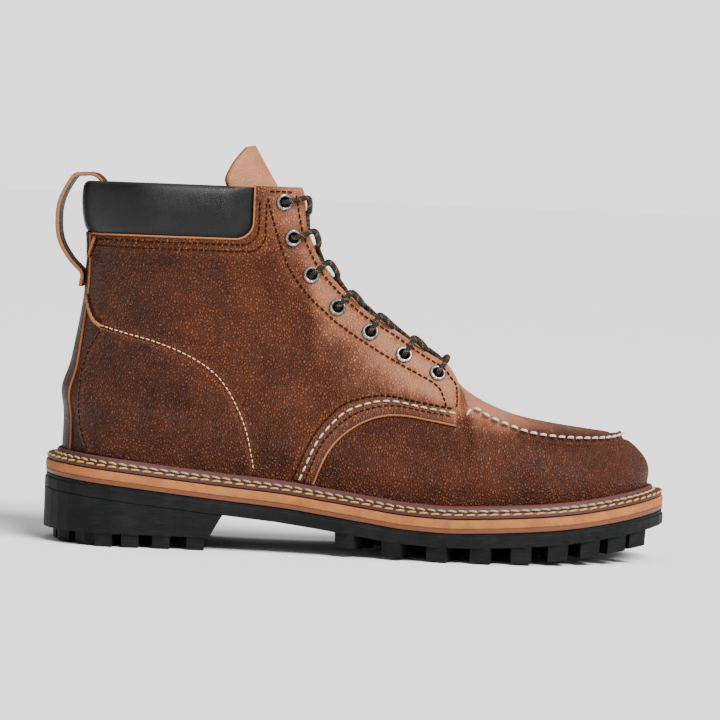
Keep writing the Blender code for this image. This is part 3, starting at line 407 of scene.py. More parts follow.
class Skin:
    """The outer face of the upper on one side, as a grid of points and normals."""

    def __init__(self, side):
        self.side = side
        self.seam_level = SKIN_LEVELS // 2 - 1
        table = [row[0] for row in UPPER_SECTIONS]
        self.stations = np.unique(np.concatenate([np.linspace(0, 1, SKIN_STATIONS), table]))
        rows = []
        for station in self.stations:
            curve = upper_section(station, side)
            run = run_length(curve)
            seam = seam_share(station, curve, run)
            low = np.linspace(0, seam, SKIN_LEVELS // 2)
            high = np.linspace(seam, 1, SKIN_LEVELS // 2 + 1)[1:]
            share = np.concatenate([low, high])
            points = at_run(curve, run, share * run[-1])
            lift = SEAM_HEIGHT * float(ease(station, SEAM_START, SEAM_START + 0.012))
            away = (share - seam) * run[-1]
            ridge = lift * np.exp(-((away / RIDGE_WIDTH) ** 2))
            groove = GROOVE_SHARE * lift * np.exp(-(((np.abs(away) - GROOVE_AWAY) / GROOVE_WIDTH) ** 2))
            out = points[self.seam_level - 3] - points[self.seam_level + 4]
            out[2] = 0.0
            out /= max(np.linalg.norm(out), 1e-9)
            points = points + (ridge - groove)[:, None] * (0.45 * out + np.array([0, 0, 0.9]))
            rows.append(points)
        self.points = np.array(rows)
        depth = crease_depth(side, self.points[..., 0], self.points[..., 2])
        self.points = self.points - self.raw_normals() * depth[..., None]
        self.normals = self.raw_normals()
        self.tree = KDTree(self.points.shape[0] * self.points.shape[1])
        for i in range(self.points.shape[0]):
            for j in range(self.points.shape[1]):
                p = self.points[i, j]
                self.tree.insert((p[0], 0.0, p[2]), i * self.points.shape[1] + j)
        self.tree.balance()

    def raw_normals(self):
        along = np.gradient(self.points, axis=0)
        up = np.gradient(self.points, axis=1)
        normal = np.cross(along, up) * -self.side
        length = np.linalg.norm(normal, axis=-1, keepdims=True)
        normal = normal / np.maximum(length, 1e-12)
        inward = np.sum(normal[..., 1]) * self.side < 0
        return -normal if inward else normal

    def locate(self, x, z):
        """Point and normal on the surface at a place in side view."""
        count = self.points.shape[1]
        _, index, _ = self.tree.find((x, 0.0, z))
        i, j = divmod(index, count)
        i = min(max(i, 1), self.points.shape[0] - 2)
        j = min(max(j, 1), count - 2)
        here = self.points[i, j]
        along = (self.points[i + 1, j] - self.points[i - 1, j]) / 2
        up = (self.points[i, j + 1] - self.points[i, j - 1]) / 2
        system = np.array([[along[0], up[0]], [along[2], up[2]]])
        offset = np.array([x - here[0], z - here[2]])
        if abs(np.linalg.det(system)) < 1e-10:
            step = np.zeros(2)
        else:
            step = np.clip(np.linalg.solve(system, offset), -2.5, 2.5)
        point = here + along * step[0] + up * step[1]
        return point, self.normals[i, j]

    def trace(self, line, count):
        """A smooth line in side view laid on the surface."""
        places = smooth_line(sized(line), count)
        found = [self.locate(x, z) for x, z in places]
        return np.array([p for p, _ in found]), np.array([n for _, n in found])


def smooth_line(places, count):
    """Evenly spaced points on a smooth curve through the given ones."""
    places = np.array(places, float)
    run = run_length(places)
    at = np.linspace(0, run[-1], count)
    padded = np.vstack([2 * places[0] - places[1], places, 2 * places[-1] - places[-2]])
    result = []
    for value in at:
        k = int(np.clip(np.searchsorted(run, value, side="right") - 1, 0, len(places) - 2))
        t = (value - run[k]) / (run[k + 1] - run[k])
        p0, p1, p2, p3 = padded[k], padded[k + 1], padded[k + 2], padded[k + 3]
        square = 2 * p0 - 5 * p1 + 4 * p2 - p3
        cube = 3 * p1 - p0 - 3 * p2 + p3
        result.append(0.5 * (2 * p1 + (p2 - p0) * t + square * t * t + cube * t**3))
    return np.array(result)


SKINS = {-1: Skin(-1), 1: Skin(1)}


# Building meshes

def seated(points):
    """From the last's own coordinates to the frame's."""
    points = np.asarray(points, float).reshape(-1, 3)
    return points - np.array([MIDDLE[0], MIDDLE[1], 0.0])


def new_piece(name, points, faces, materials, smooth=True):
    mesh = bpy.data.meshes.new(name)
    mesh.from_pydata([tuple(p) for p in seated(points)], [], faces)
    mesh.validate()
    piece = bpy.data.objects.new(name, mesh)
    bpy.context.scene.collection.objects.link(piece)
    for material in materials:
        mesh.materials.append(material)
    if smooth:
        mesh.shade_smooth()
    return piece


def finish_piece(piece, slot, *nodes):
    """Ride on the body and stand for the solids; slot is not used."""
    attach(piece, "root")
    if nodes:
        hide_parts(*nodes)
    return piece


def only(piece):
    """Make one piece the only one selected."""
    for other in bpy.context.selected_objects:
        other.select_set(False)
    piece.select_set(True)
    bpy.context.view_layer.objects.active = piece


def apply_modifier(piece, kind, **values):
    modifier = piece.modifiers.new(kind.lower(), kind)
    for key, value in values.items():
        setattr(modifier, key, value)
    only(piece)
    bpy.ops.object.modifier_apply(modifier=modifier.name)


def grid_faces(rows, columns, start=0, wrap=False, around=False):
    """Quads of a grid: wrap joins its last column to the first, around its last row to the first."""
    faces = []
    for i in range(rows if around else rows - 1):
        a = start + i * columns
        b = start + (i + 1) % rows * columns
        for j in range(columns if wrap else columns - 1):
            k = (j + 1) % columns
            faces.append((a + j, b + j, b + k, a + k))
    return faces


def tube_faces(rings, sides, start=0):
    """Faces of a run of rings with both its ends closed."""
    end = start + (rings - 1) * sides
    faces = grid_faces(rings, sides, start, wrap=True)
    faces.append(tuple(range(start, start + sides)))
    faces.append(tuple(range(end, end + sides))[::-1])
    return faces


def outward(piece, weld=True):
    """Turn the faces outward, after points in one place are joined."""
    made = bmesh.new()
    made.from_mesh(piece.data)
    if weld:
        bmesh.ops.remove_doubles(made, verts=made.verts, dist=0.00001)
    bmesh.ops.recalc_face_normals(made, faces=made.faces)
    made.to_mesh(piece.data)
    made.free()
    return piece


def sheet(name, top, low, materials):
    """A thin body between two grids of points, its rim in the second material."""
    rows, columns = top.shape[:2]
    count = rows * columns
    verts = np.vstack([top.reshape(-1, 3), low.reshape(-1, 3)])
    faces = grid_faces(rows, columns)
    under = [tuple(count + v for v in reversed(face)) for face in faces]
    border = [i * columns for i in range(rows)]
    border += [(rows - 1) * columns + j for j in range(1, columns)]
    border += [i * columns + columns - 1 for i in range(rows - 2, -1, -1)]
    border += [j for j in range(columns - 2, 0, -1)]
    rim = []
    for a, b in zip(border, border[1:] + border[:1]):
        rim.append((a, b, count + b, count + a))
    piece = new_piece(name, verts, faces + under + rim, materials)
    for k in range(len(faces) * 2, len(faces) * 2 + len(rim)):
        piece.data.polygons[k].material_index = 1
    return outward(piece)


def slab(name, points, normals, heights, materials, sink=0.0004):
    """A sheet laid on the skin, with its outer face at the given heights."""
    return sheet(name, points + normals * heights[..., None], points - normals * sink, materials)


def tube_mesh(path, radius, sides, flat=1.0, normals=None):
    """Points and faces of a tube along a path; flat squeezes it toward the surface."""
    path = np.asarray(path, float)
    tangent = np.gradient(path, axis=0)
    tangent /= np.maximum(np.linalg.norm(tangent, axis=1, keepdims=True), 1e-12)
    if normals is None:
        normal = np.cross(tangent[0], [0.3, 0.2, 0.9])
        found = []
        for t in tangent:
            normal = normal - t * np.dot(normal, t)
            normal /= max(np.linalg.norm(normal), 1e-9)
            found.append(normal)
        normals = np.array(found)
    side = np.cross(tangent, normals)
    side /= np.maximum(np.linalg.norm(side, axis=1, keepdims=True), 1e-12)
    rings = []
    for place, across, out in zip(path, side, normals):
        for k in range(sides):
            turn = 2 * math.pi * k / sides
            rings.append(place + radius * (across * math.cos(turn) + out * math.sin(turn) * flat))
    return np.array(rings), tube_faces(len(path), sides)


def tube(name, path, radius, sides, material, flat=1.0, normals=None):
    points, faces = tube_mesh(path, radius, sides, flat, normals)
    return outward(new_piece(name, points, faces, [material]))


def stitch_points(path, pitch):
    """Evenly spaced places along a path, with the direction there and their share of its length."""
    run = run_length(path)
    middles = pitch * (np.arange(int(run[-1] / pitch)) + 0.5)
    direction = at_run(path, run, middles + pitch * 0.3) - at_run(path, run, middles - pitch * 0.3)
    direction /= np.maximum(np.linalg.norm(direction, axis=1, keepdims=True), 1e-12)
    return at_run(path, run, middles), direction, middles / run[-1]


def stitch_rows(name, rows, material):
    """Many stitches as one mesh: each a short thread that dips at both ends."""
    # along the stitch in its lengths, height and size in its radii
    shape = ((-0.5, -0.9, 0.35), (-0.38, 0.0, 0.85), (0.0, 0.28, 1.0), (0.38, 0.0, 0.85), (0.5, -0.9, 0.35))
    verts = []
    faces = []
    for path, normals, pitch, length, radius, lean in rows:
        places, direction, share = stitch_points(path, pitch)
        normal = at_run(normals, np.arange(len(path)), share * (len(path) - 1))
        for place, along, out in zip(places, direction, normal):
            out = out - along * np.dot(out, along)
            out /= max(np.linalg.norm(out), 1e-9)
            side = np.cross(along, out)
            along = along * math.cos(lean) + side * math.sin(lean)
            side = np.cross(along, out)
            start = len(verts)
            for a, h, r in shape:
                centre = place + along * a * length + out * h * radius
                for k in range(STITCH_SIDES):
                    turn = 2 * math.pi * k / STITCH_SIDES
                    verts.append(centre + radius * r * (side * math.cos(turn) + out * math.sin(turn)))
            faces += tube_faces(len(shape), STITCH_SIDES, start)
    return new_piece(name, verts, faces, [material])


# Node helpers

class Nodes:
    """Short calls for building a node tree."""

    def __init__(self, tree):
        self.tree = tree

    def add(self, kind, inputs=None, **values):
        node = self.tree.nodes.new(kind)
        for key, value in values.items():
            setattr(node, key, value)
        for key, value in (inputs or {}).items():
            self.put(node, key, value)
        return node

    def put(self, node, key, value):
        socket = node.inputs[key]
        if isinstance(value, bpy.types.NodeSocket):
            self.tree.links.new(value, socket)
        else:
            socket.default_value = value

    def place(self):
        return self.add("ShaderNodeTexCoord").outputs["Object"]

    def stored(self, name):
        """A value stored on the mesh."""
        return self.add("ShaderNodeAttribute", attribute_name=name).outputs["Fac"]

    def math(self, operation, a, b=0.0, clamp=False):
        return self.add("ShaderNodeMath", {0: a, 1: b}, operation=operation, use_clamp=clamp).outputs[0]

    def plus(self, a, b, clamp=False):
        return self.math("ADD", a, b, clamp)

    def times(self, a, b):
        return self.math("MULTIPLY", a, b)

    def noise(self, vector, scale, detail=3.0, rough=0.55):
        return self.add(
            "ShaderNodeTexNoise", {"Vector": vector, "Scale": scale, "Detail": detail, "Roughness": rough}
        ).outputs["Fac"]

    def spread(self, value, low, high, out_low=0.0, out_high=1.0):
        return self.add(
            "ShaderNodeMapRange",
            {"Value": value, "From Min": low, "From Max": high, "To Min": out_low, "To Max": out_high},
            interpolation_type="SMOOTHSTEP",
        ).outputs[0]

    def blend(self, factor, one, two):
        node = self.add("ShaderNodeMix", data_type="RGBA")
        self.put(node, 0, factor)
        self.put(node, 6, one)
        self.put(node, 7, two)
        return node.outputs[2]


def tint(colour):
    return (*colour, 1.0)


def new_group(name, inputs, outputs):
    group = bpy.data.node_groups.new(name, "ShaderNodeTree")
    for label, kind, default in inputs:
        socket = group.interface.new_socket(label, in_out="INPUT", socket_type=kind)
        socket.default_value = default
    for label, kind in outputs:
        group.interface.new_socket(label, in_out="OUTPUT", socket_type=kind)
    start = group.nodes.new("NodeGroupInput")
    end = group.nodes.new("NodeGroupOutput")
    return group, Nodes(group), start.outputs, end


def grain_group():
    """Pebbled grain: a height and the creases between the pebbles."""
    group, n, given, end = new_group(
        "pebble_grain",
        (("Scale", "NodeSocketFloat", 700.0),),
        (("Height", "NodeSocketFloat"), ("Crease", "NodeSocketFloat")),
    )
    where = n.place()
    wobble = n.add("ShaderNodeTexNoise", {"Vector": where, "Scale": 320.0, "Detail": 2.0}).outputs["Color"]
    moved = n.add("ShaderNodeVectorMath", {0: wobble, 1: (0.5, 0.5, 0.5)}, operation="SUBTRACT").outputs[0]
    moved = n.add("ShaderNodeVectorMath", {0: moved, "Scale": 0.0016}, operation="SCALE").outputs[0]
    place = n.add("ShaderNodeVectorMath", {0: where, 1: moved}, operation="ADD").outputs[0]
    slant = n.add(
        "ShaderNodeMapping", {"Vector": place, "Rotation": (0.0, 0.6, 0.0), "Scale": (1.25, 1.0, 0.8)}
    ).outputs[0]
    cells = n.add(
        "ShaderNodeTexVoronoi", {"Vector": slant, "Scale": given["Scale"]}, feature="DISTANCE_TO_EDGE"
    )
    edge = n.spread(cells.outputs["Distance"], 0.01, 0.36)
    small = n.noise(where, 2600.0, 2.0)
    height = n.plus(edge, n.times(small, 0.18))
    n.tree.links.new(height, end.inputs["Height"])
    n.tree.links.new(n.math("SUBTRACT", 1.0, edge), end.inputs["Crease"])
    return group


def mottle_group():
    """Large clouds of the pulled-up colour in oiled leather, and a mask of small flecks used for painted
    highlights and the orange at the seams.
    """
    group, n, given, end = new_group(
        "pull_up_colour",
        (("Seed", "NodeSocketFloat", 0.0),),
        (("Clouds", "NodeSocketFloat"), ("Flecks", "NodeSocketFloat")),
    )
    where = n.place()
    shift = n.add("ShaderNodeCombineXYZ", {"X": given["Seed"], "Y": 0.0, "Z": given["Seed"]}).outputs[0]
    place = n.add("ShaderNodeVectorMath", {0: where, 1: shift}, operation="ADD").outputs[0]
    large = n.noise(place, 26.0, 4.0, 0.6)
    middle = n.noise(place, 95.0, 4.0, 0.65)
    clouds = n.plus(n.times(large, 0.62), n.times(middle, 0.38))
    n.tree.links.new(n.spread(clouds, 0.31, 0.69), end.inputs["Clouds"])
    flecks = n.noise(place, 380.0, 4.0, 0.7)
    n.tree.links.new(n.spread(flecks, 0.50, 0.68), end.inputs["Flecks"])
    return group


def fibre_group():
    """Rough cut leather: streaks along the edge and loose fibres."""
    group, n, given, end = new_group(
        "cut_fibres",
        (("Scale", "NodeSocketFloat", 900.0),),
        (("Fibres", "NodeSocketFloat"), ("Blotches", "NodeSocketFloat")),
    )
    where = n.place()
    long = n.add("ShaderNodeMapping", {"Vector": where, "Scale": (0.35, 0.35, 1.6)}).outputs[0]
    n.tree.links.new(n.noise(long, given["Scale"], 4.0, 0.7), end.inputs["Fibres"])
    n.tree.links.new(n.spread(n.noise(where, 120.0, 4.0, 0.6), 0.38, 0.66), end.inputs["Blotches"])
    return group


GROUPS = {}


def use_group(n, name, inputs=None):
    makers = {"grain": grain_group, "mottle": mottle_group, "fibre": fibre_group}
    if name not in GROUPS:
        GROUPS[name] = makers[name]()
    node = n.add("ShaderNodeGroup", node_tree=GROUPS[name])
    for key, value in (inputs or {}).items():
        n.put(node, key, value)
    return node.outputs


def new_material(name, roughness, metallic=0.0, shine=0.5):
    material = bpy.data.materials.new(name)
    material.use_nodes = True
    shader = material.node_tree.nodes["Principled BSDF"]
    shader.inputs["Roughness"].default_value = roughness
    shader.inputs["Metallic"].default_value = metallic
    shader.inputs["Specular IOR Level"].default_value = shine
    return material, Nodes(material.node_tree), shader


def bump(n, shader, height, distance, strength):
    node = n.add("ShaderNodeBump", {"Height": height, "Distance": distance, "Strength": strength})
    n.put(shader, "Normal", node.outputs[0])


def leather_material(name, dark, middle, light, pale, seed, grain=1.0, even=None):
    """Oiled leather: pebbles, dark creases, clouds, pale parts that are partly the leather's own tone and
    partly painted light, painted highlight flecks, painted shadow at the heel and orange along the seams.
    """
    material, n, shader = new_material(name, 0.46, shine=0.20)
    pebbles = use_group(n, "grain", {"Scale": 700.0})
    mottle = use_group(n, "mottle", {"Seed": seed})
    if even is None:
        shade = n.stored("shade")
        seam = n.stored("seam")
    else:
        shade, seam = even, 0.0
    # Clouds of tone mixed with the stored value: darker at the heel where shadow is painted, lighter up the
    # instep and over the toe top where light is painted.
    clouds = n.plus(n.times(mottle["Clouds"], 0.55), n.times(shade, 0.60), clamp=True)
    body = n.blend(clouds, tint(dark), tint(middle))
    # Pale parts: partly the eyestay's own lighter leather, partly painted light up the instep and over the
    # toe top; the grain is kept fainter there.
    pale_and_lit = n.spread(n.plus(shade, n.times(mottle["Clouds"], 0.25)), 0.58, 1.22)
    body = n.blend(pale_and_lit, body, tint(pale))
    # Painted highlights: flecks of the light colour on the pebbles, more where the clouds are light.
    lit = n.times(mottle["Flecks"], n.spread(clouds, 0.2, 0.95, 0.05, 0.26))
    body = n.blend(lit, body, tint(light))
    sewn = n.times(seam, n.spread(mottle["Flecks"], 0.0, 1.0, 0.35, 0.95))
    body = n.blend(sewn, body, tint((0.42, 0.125, 0.030)))
    smooth = n.spread(pale_and_lit, 0.0, 1.0, 1.0, 0.38)
    creased = n.times(n.times(pebbles["Crease"], 0.74 * grain), smooth)
    body = n.blend(creased, body, tint([c * 0.30 for c in dark]))
    n.put(shader, "Base Color", body)
    n.put(shader, "Roughness", n.spread(mottle["Clouds"], 0.0, 1.0, 0.42, 0.58))
    pucker = n.times(seam, mottle["Flecks"])
    height = n.plus(n.times(pebbles["Height"], smooth), pucker)
    bump(n, shader, height, 0.00060 * grain, 1.0)
    return material


def edge_material(name, dark, light):
    """Raw cut edge of leather."""
    material, n, shader = new_material(name, 0.82)
    cut = use_group(n, "fibre", {"Scale": 1500.0})
    colour = n.blend(cut["Fibres"], tint(dark), tint(light))
    colour = n.blend(n.times(cut["Blotches"], 0.5), colour, tint([c * 0.6 for c in light]))
    n.put(shader, "Base Color", colour)
    bump(n, shader, cut["Fibres"], 0.0003, 0.9)
    return material


def thread_material(name, dark, light, shine=0.3):
    """Twisted thread: fine slanted ridges."""
    material, n, shader = new_material(name, 0.6, shine=shine)
    where = n.place()
    twist = n.add(
        "ShaderNodeTexWave", {"Vector": where, "Scale": 900.0, "Distortion": 2.0}, bands_direction="DIAGONAL"
    ).outputs["Fac"]
    spots = n.noise(where, 500.0, 2.0)
    mask = n.plus(n.times(twist, 0.6), n.times(spots, 0.4))
    n.put(shader, "Base Color", n.blend(mask, tint(dark), tint(light)))
    bump(n, shader, twist, 0.00012, 0.6)
    return material


def rubber_material():
    """Matt black rubber with fine sanding scratches along the sole's side."""
    material, n, shader = new_material("rubber_sole", 0.62, shine=0.10)
    where = n.place()
    long = n.add("ShaderNodeMapping", {"Vector": where, "Scale": (0.06, 0.06, 1.0)}).outputs[0]
    scratches = n.noise(long, 2600.0, 4.0, 0.75)
    dust = n.spread(n.noise(where, 70.0, 4.0, 0.6), 0.45, 0.75)
    scraped = n.spread(scratches, 0.45, 0.8)
    colour = n.blend(scraped, tint((0.0058, 0.0060, 0.0064)), tint((0.018, 0.018, 0.0185)))
    colour = n.blend(n.times(dust, 0.25), colour, tint((0.028, 0.027, 0.026)))
    n.put(shader, "Base Color", colour)
    n.put(shader, "Roughness", n.spread(scratches, 0.3, 0.8, 0.52, 0.74))
    fine = n.noise(where, 1500.0, 2.0)
    height = n.plus(scratches, n.times(fine, 0.3))
    bump(n, shader, height, 0.00010, 0.5)
    return material


def collar_material():
    """Smooth black leather with a soft sheen and the finest grain."""
    material, n, shader = new_material("padded_black", 0.40, shine=0.26)
    where = n.place()
    grain = n.add("ShaderNodeTexVoronoi", {"Vector": where, "Scale": 1700.0}, feature="DISTANCE_TO_EDGE")
    edge = n.spread(grain.outputs["Distance"], 0.0, 0.25)
    worn = n.spread(n.noise(where, 60.0, 4.0), 0.4, 0.7)
    colour = n.blend(worn, tint((0.0042, 0.0042, 0.0045)), tint((0.0085, 0.0085, 0.0090)))
    n.put(shader, "Base Color", colour)
    n.put(shader, "Roughness", n.spread(worn, 0.0, 1.0, 0.36, 0.46))
    bump(n, shader, n.plus(edge, n.times(n.noise(where, 140.0), 1.2)), 0.00010, 0.45)
    return material


def midsole_material():
    """Cut leather edge in two tones: rough tan above, burnished brown below."""
    material, n, shader = new_material("midsole_edge", 0.75)
    cut = use_group(n, "fibre", {"Scale": 1100.0})
    tone = n.stored("tone")
    tan = n.blend(cut["Fibres"], tint((0.24, 0.068, 0.012)), tint((0.50, 0.190, 0.046)))
    tan = n.blend(n.times(cut["Blotches"], 0.55), tan, tint((0.22, 0.062, 0.014)))
    brown = n.blend(cut["Fibres"], tint((0.085, 0.024, 0.006)), tint((0.19, 0.056, 0.014)))
    n.put(shader, "Base Color", n.blend(tone, brown, tan))
    n.put(shader, "Roughness", n.spread(tone, 0.0, 1.0, 0.50, 0.85))
    bump(n, shader, cut["Fibres"], 0.00035, n.spread(tone, 0.0, 1.0, 0.35, 0.9))
    return material


def welt_material():
    """Maroon storm welt: smooth flange, rough light-red rib edge."""
    material, n, shader = new_material("welt_maroon", 0.5)
    cut = use_group(n, "fibre", {"Scale": 1300.0})
    tone = n.stored("tone")
    smooth = n.blend(cut["Blotches"], tint((0.026, 0.0040, 0.0030)), tint((0.052, 0.0075, 0.0050)))
    rough = n.blend(cut["Fibres"], tint((0.050, 0.0085, 0.0060)), tint((0.125, 0.028, 0.020)))
    n.put(shader, "Base Color", n.blend(tone, smooth, rough))
    n.put(shader, "Roughness", n.spread(tone, 0.0, 1.0, 0.45, 0.8))
    bump(n, shader, cut["Fibres"], 0.0003, n.spread(tone, 0.0, 1.0, 0.25, 0.9))
    return material


def lace_material():
    """Round braided cord: two slanted sets of strands, with a few brown ones."""
    material, n, shader = new_material("lace_braid", 0.72, shine=0.25)
    uv = n.add("ShaderNodeUVMap", uv_map="run").outputs[0]
    split = n.add("ShaderNodeSeparateXYZ", {0: uv})
    along, around = split.outputs[0], split.outputs[1]
    one = n.math("SINE", n.times(n.plus(along, around), 2 * math.pi * 4))
    two = n.math("SINE", n.times(n.math("SUBTRACT", along, around), 2 * math.pi * 4))
    strands = n.math("MAXIMUM", one, two)
    mask = n.spread(strands, 0.1, 0.9)
    fleck = n.spread(n.math("SINE", n.times(n.plus(along, around), 2 * math.pi)), 0.55, 0.9)
    colour = n.blend(mask, tint((0.0045, 0.0045, 0.0038)), tint((0.026, 0.024, 0.018)))
    colour = n.blend(n.times(fleck, mask), colour, tint((0.20, 0.085, 0.030)))
    n.put(shader, "Base Color", colour)
    bump(n, shader, strands, 0.00022, 0.9)
    return material


def metal_material():
    """Antiqued eyelets: dull silver with darker stains at random; the dark bore is painted shadow in its own
    material.
    """
    material, n, shader = new_material("antiqued_metal", 0.36, metallic=1.0)
    where = n.place()
    stain = n.spread(n.noise(where, 900.0, 4.0, 0.7), 0.40, 0.62)
    n.put(shader, "Base Color", n.blend(stain, tint((0.10, 0.095, 0.09)), tint((0.44, 0.43, 0.42))))
    n.put(shader, "Roughness", n.spread(stain, 0.0, 1.0, 0.55, 0.30))
    return material


def bore_shadow_material():
    """Painted shadow in an eyelet's bore: near-black metal on its closing disc and lower wall."""
    material, n, shader = new_material("eyelet_bore_painted_shadow", 0.7, metallic=0.4)
    where = n.place()
    spots = n.noise(where, 1200.0, 2.0)
    n.put(shader, "Base Color", n.blend(spots, tint((0.006, 0.005, 0.004)), tint((0.022, 0.017, 0.013))))
    return material


def lining_material():
    material, n, shader = new_material("lining", 0.75)
    where = n.place()
    spots = n.noise(where, 160.0, 4.0)
    n.put(shader, "Base Color", n.blend(spots, tint((0.30, 0.18, 0.095)), tint((0.42, 0.28, 0.16))))
    bump(n, shader, n.noise(where, 1600.0, 3.0), 0.0002, 0.5)
    return material


MATERIALS = {}


def make_materials():
    # The third colour given to each leather is its painted highlight flecks; pale is the colour of the pale
    # parts, partly the eyestay's own lighter leather and partly painted light up the instep and over the toe
    # top.
    pale = (0.40, 0.165, 0.092)
    MATERIALS["leather"] = leather_material(
        "oiled_leather", (0.034, 0.0068, 0.0021), (0.205, 0.0500, 0.0145), (0.36, 0.092, 0.024), pale, 0.0
    )
    MATERIALS["wing_leather"] = leather_material(
        "wing_leather", (0.024, 0.0062, 0.0040), (0.185, 0.064, 0.042), (0.30, 0.115, 0.065),
        pale, 0.31, 0.85,
    )
    # The tongue and the back strip take a fixed level in place of the stored tone and painted light: lighter
    # on the tongue, darker on the strip.
    MATERIALS["tongue"] = leather_material(
        "tongue_leather_skin", (0.30, 0.100, 0.040), (0.44, 0.185, 0.082), (0.55, 0.27, 0.13),
        pale, 0.7, 0.30, 0.7,
    )
    MATERIALS["stay"] = leather_material(
        "backstay_leather", (0.034, 0.0100, 0.0056), (0.10, 0.030, 0.013), (0.24, 0.078, 0.028),
        pale, 0.5, 0.8, 0.2,
    )
    MATERIALS["edge"] = edge_material("raw_edge", (0.20, 0.060, 0.015), (0.48, 0.185, 0.052))
    MATERIALS["collar"] = collar_material()
    MATERIALS["rubber"] = rubber_material()
    MATERIALS["midsole"] = midsole_material()
    MATERIALS["welt"] = welt_material()
    MATERIALS["lace"] = lace_material()
    MATERIALS["metal"] = metal_material()
    # Painted shadow for the eyelets' bore.
    MATERIALS["barrel"] = bore_shadow_material()
    MATERIALS["lining"] = lining_material()
    MATERIALS["white_thread"] = thread_material("white_thread", (0.42, 0.36, 0.27), (0.78, 0.72, 0.60))
    MATERIALS["cream_thread"] = thread_material("cream_thread", (0.26, 0.20, 0.10), (0.58, 0.48, 0.28))
    MATERIALS["gold_thread"] = thread_material("gold_thread", (0.34, 0.17, 0.03), (0.72, 0.42, 0.09))
    MATERIALS["dark_thread"] = thread_material(
        "dark_thread", (0.004, 0.003, 0.003), (0.016, 0.010, 0.008), shine=0.10
    )


# The pieces

def shade_of(points):
    """Tone with painted light of the leather at points: pale up the instep, a painted highlight over the
    toe, painted shadow at the heel and darker toward the bottom.
    """
    x, z = points[:, 0] / SOLE_LENGTH, points[:, 2] / SHAFT_HEIGHT
    edge = through(*THROAT_LINE, np.clip(x, THROAT_LINE[0][0], THROAT_LINE[0][-1]))
    # Pale up the instep: partly the eyestay's own lighter leather, partly painted light.
    instep = np.exp(-((np.clip(edge - z, 0, 2) / 0.20) ** 2)) * ease(x, 0.27, 0.37) * ease(z, 0.37, 0.46)
    # Painted highlight over the top of the toe.
    top = ease(z, 0.325, 0.375) * ease(x, 0.60, 0.70)
    # Painted shadow, darker toward the heel.
    heel = 1 - ease(x, 0.05, 0.45)
    # Darker toward the bottom.
    low = 1 - ease(z, 0.16, 0.42)
    return np.clip(0.42 + 0.62 * instep + 0.36 * top - 0.42 * heel - 0.20 * low, 0.0, 1.0)


def put_shade(piece):
    """Store on the mesh the leather's tone with painted light and shadow, and how near a row of stitches
    lies.
    """
    mesh = piece.data
    count = len(mesh.vertices)
    points = np.empty(count * 3)
    mesh.vertices.foreach_get("co", points)
    points = points.reshape(-1, 3) + np.array([MIDDLE[0], MIDDLE[1], 0.0])
    layer = mesh.attributes.new("shade", "FLOAT", "POINT")
    layer.data.foreach_set("value", shade_of(points))
    dark, white = seam_rows()
    sewn = np.vstack([row[0] for row in dark + white])
    tree = KDTree(len(sewn))
    for i, place in enumerate(sewn):
        tree.insert(place, i)
    tree.balance()
    near = np.array([tree.find(p)[2] for p in points])
    layer = mesh.attributes.new("seam", "FLOAT", "POINT")
    layer.data.foreach_set("value", np.exp(-((near / SEAM_GLOW) ** 2)))


def side_prism(name, outline, material, near=-0.09, far=0.09):
    """A cutter: a flat outline seen from the side, drawn through the boot."""
    count = len(outline)
    points = [(x, near, z) for x, z in outline] + [(x, far, z) for x, z in outline]
    faces = [tuple(range(count))[::-1], tuple(range(count, 2 * count))]
    for i in range(count):
        k = (i + 1) % count
        faces.append((i, k, count + k, count + i))
    return outward(new_piece(name, points, faces, [material], smooth=False))


def collar_line(inset=0.0, steps=8):
    """Side view of the collar's lower edge, from the back round the front corner and up."""
    front = COLLAR_FRONT - inset
    low = SHAFT_HEIGHT - COLLAR_BAND + inset
    line = [(-0.02, low), (0.02, low), (0.04, low), (0.06, low), (0.078, low)]
    for i in range(steps + 1):
        turn = -math.pi / 2 + i * math.pi / 2 / steps
        x = front - COLLAR_CORNER + COLLAR_CORNER * math.cos(turn)
        z = low + COLLAR_CORNER + COLLAR_CORNER * math.sin(turn)
        line.append((x, z))
    return line + [(front, SHAFT_HEIGHT - 0.006), (front, SHAFT_HEIGHT)]


def make_upper():
    """The whole upper as one wall, cut for the collar and the eyelets."""
    points, faces = [], []
    for side in (-1, 1):
        skin = SKINS[side]
        rows, columns = skin.points.shape[:2]
        start = sum(len(p) for p in points)
        made = grid_faces(rows, columns, start)
        faces += made if side > 0 else [tuple(reversed(f)) for f in made]
        points.append(skin.points.reshape(-1, 3))
    materials = [MATERIALS["leather"], MATERIALS["lining"], MATERIALS["edge"]]
    piece = new_piece("boot_upper", np.vstack(points), faces, materials)
    made = bmesh.new()
    made.from_mesh(piece.data)
    bmesh.ops.remove_doubles(made, verts=made.verts, dist=0.00006)
    bmesh.ops.dissolve_degenerate(made, edges=made.edges, dist=0.00002)
    bmesh.ops.recalc_face_normals(made, faces=made.faces)
    made.normal_update()
    probe = min(made.faces, key=lambda f: f.calc_center_median().y)
    if probe.normal.y > 0:
        bmesh.ops.reverse_faces(made, faces=made.faces)
    made.to_mesh(piece.data)
    made.free()
    apply_modifier(
        piece, "SOLIDIFY", thickness=WALL, offset=-1.0, use_even_offset=False, material_offset=1,
        material_offset_rim=2, use_quality_normals=True,
    )
    front = collar_line()
    behind, above = -0.03, SHAFT_HEIGHT + 0.03
    outline = [(behind, above), (behind, front[0][1])] + front[1:-1] + [(COLLAR_FRONT, above)]
    cut_away(piece, side_prism("notch", outline, MATERIALS["edge"]))
    cut_away(piece, hole_cutter())
    put_shade(piece)
    piece.data.shade_smooth()
    only(piece)
    bpy.ops.object.shade_smooth_by_angle(angle=math.radians(40))
    return finish_piece(piece, "upper_leather", "upper")


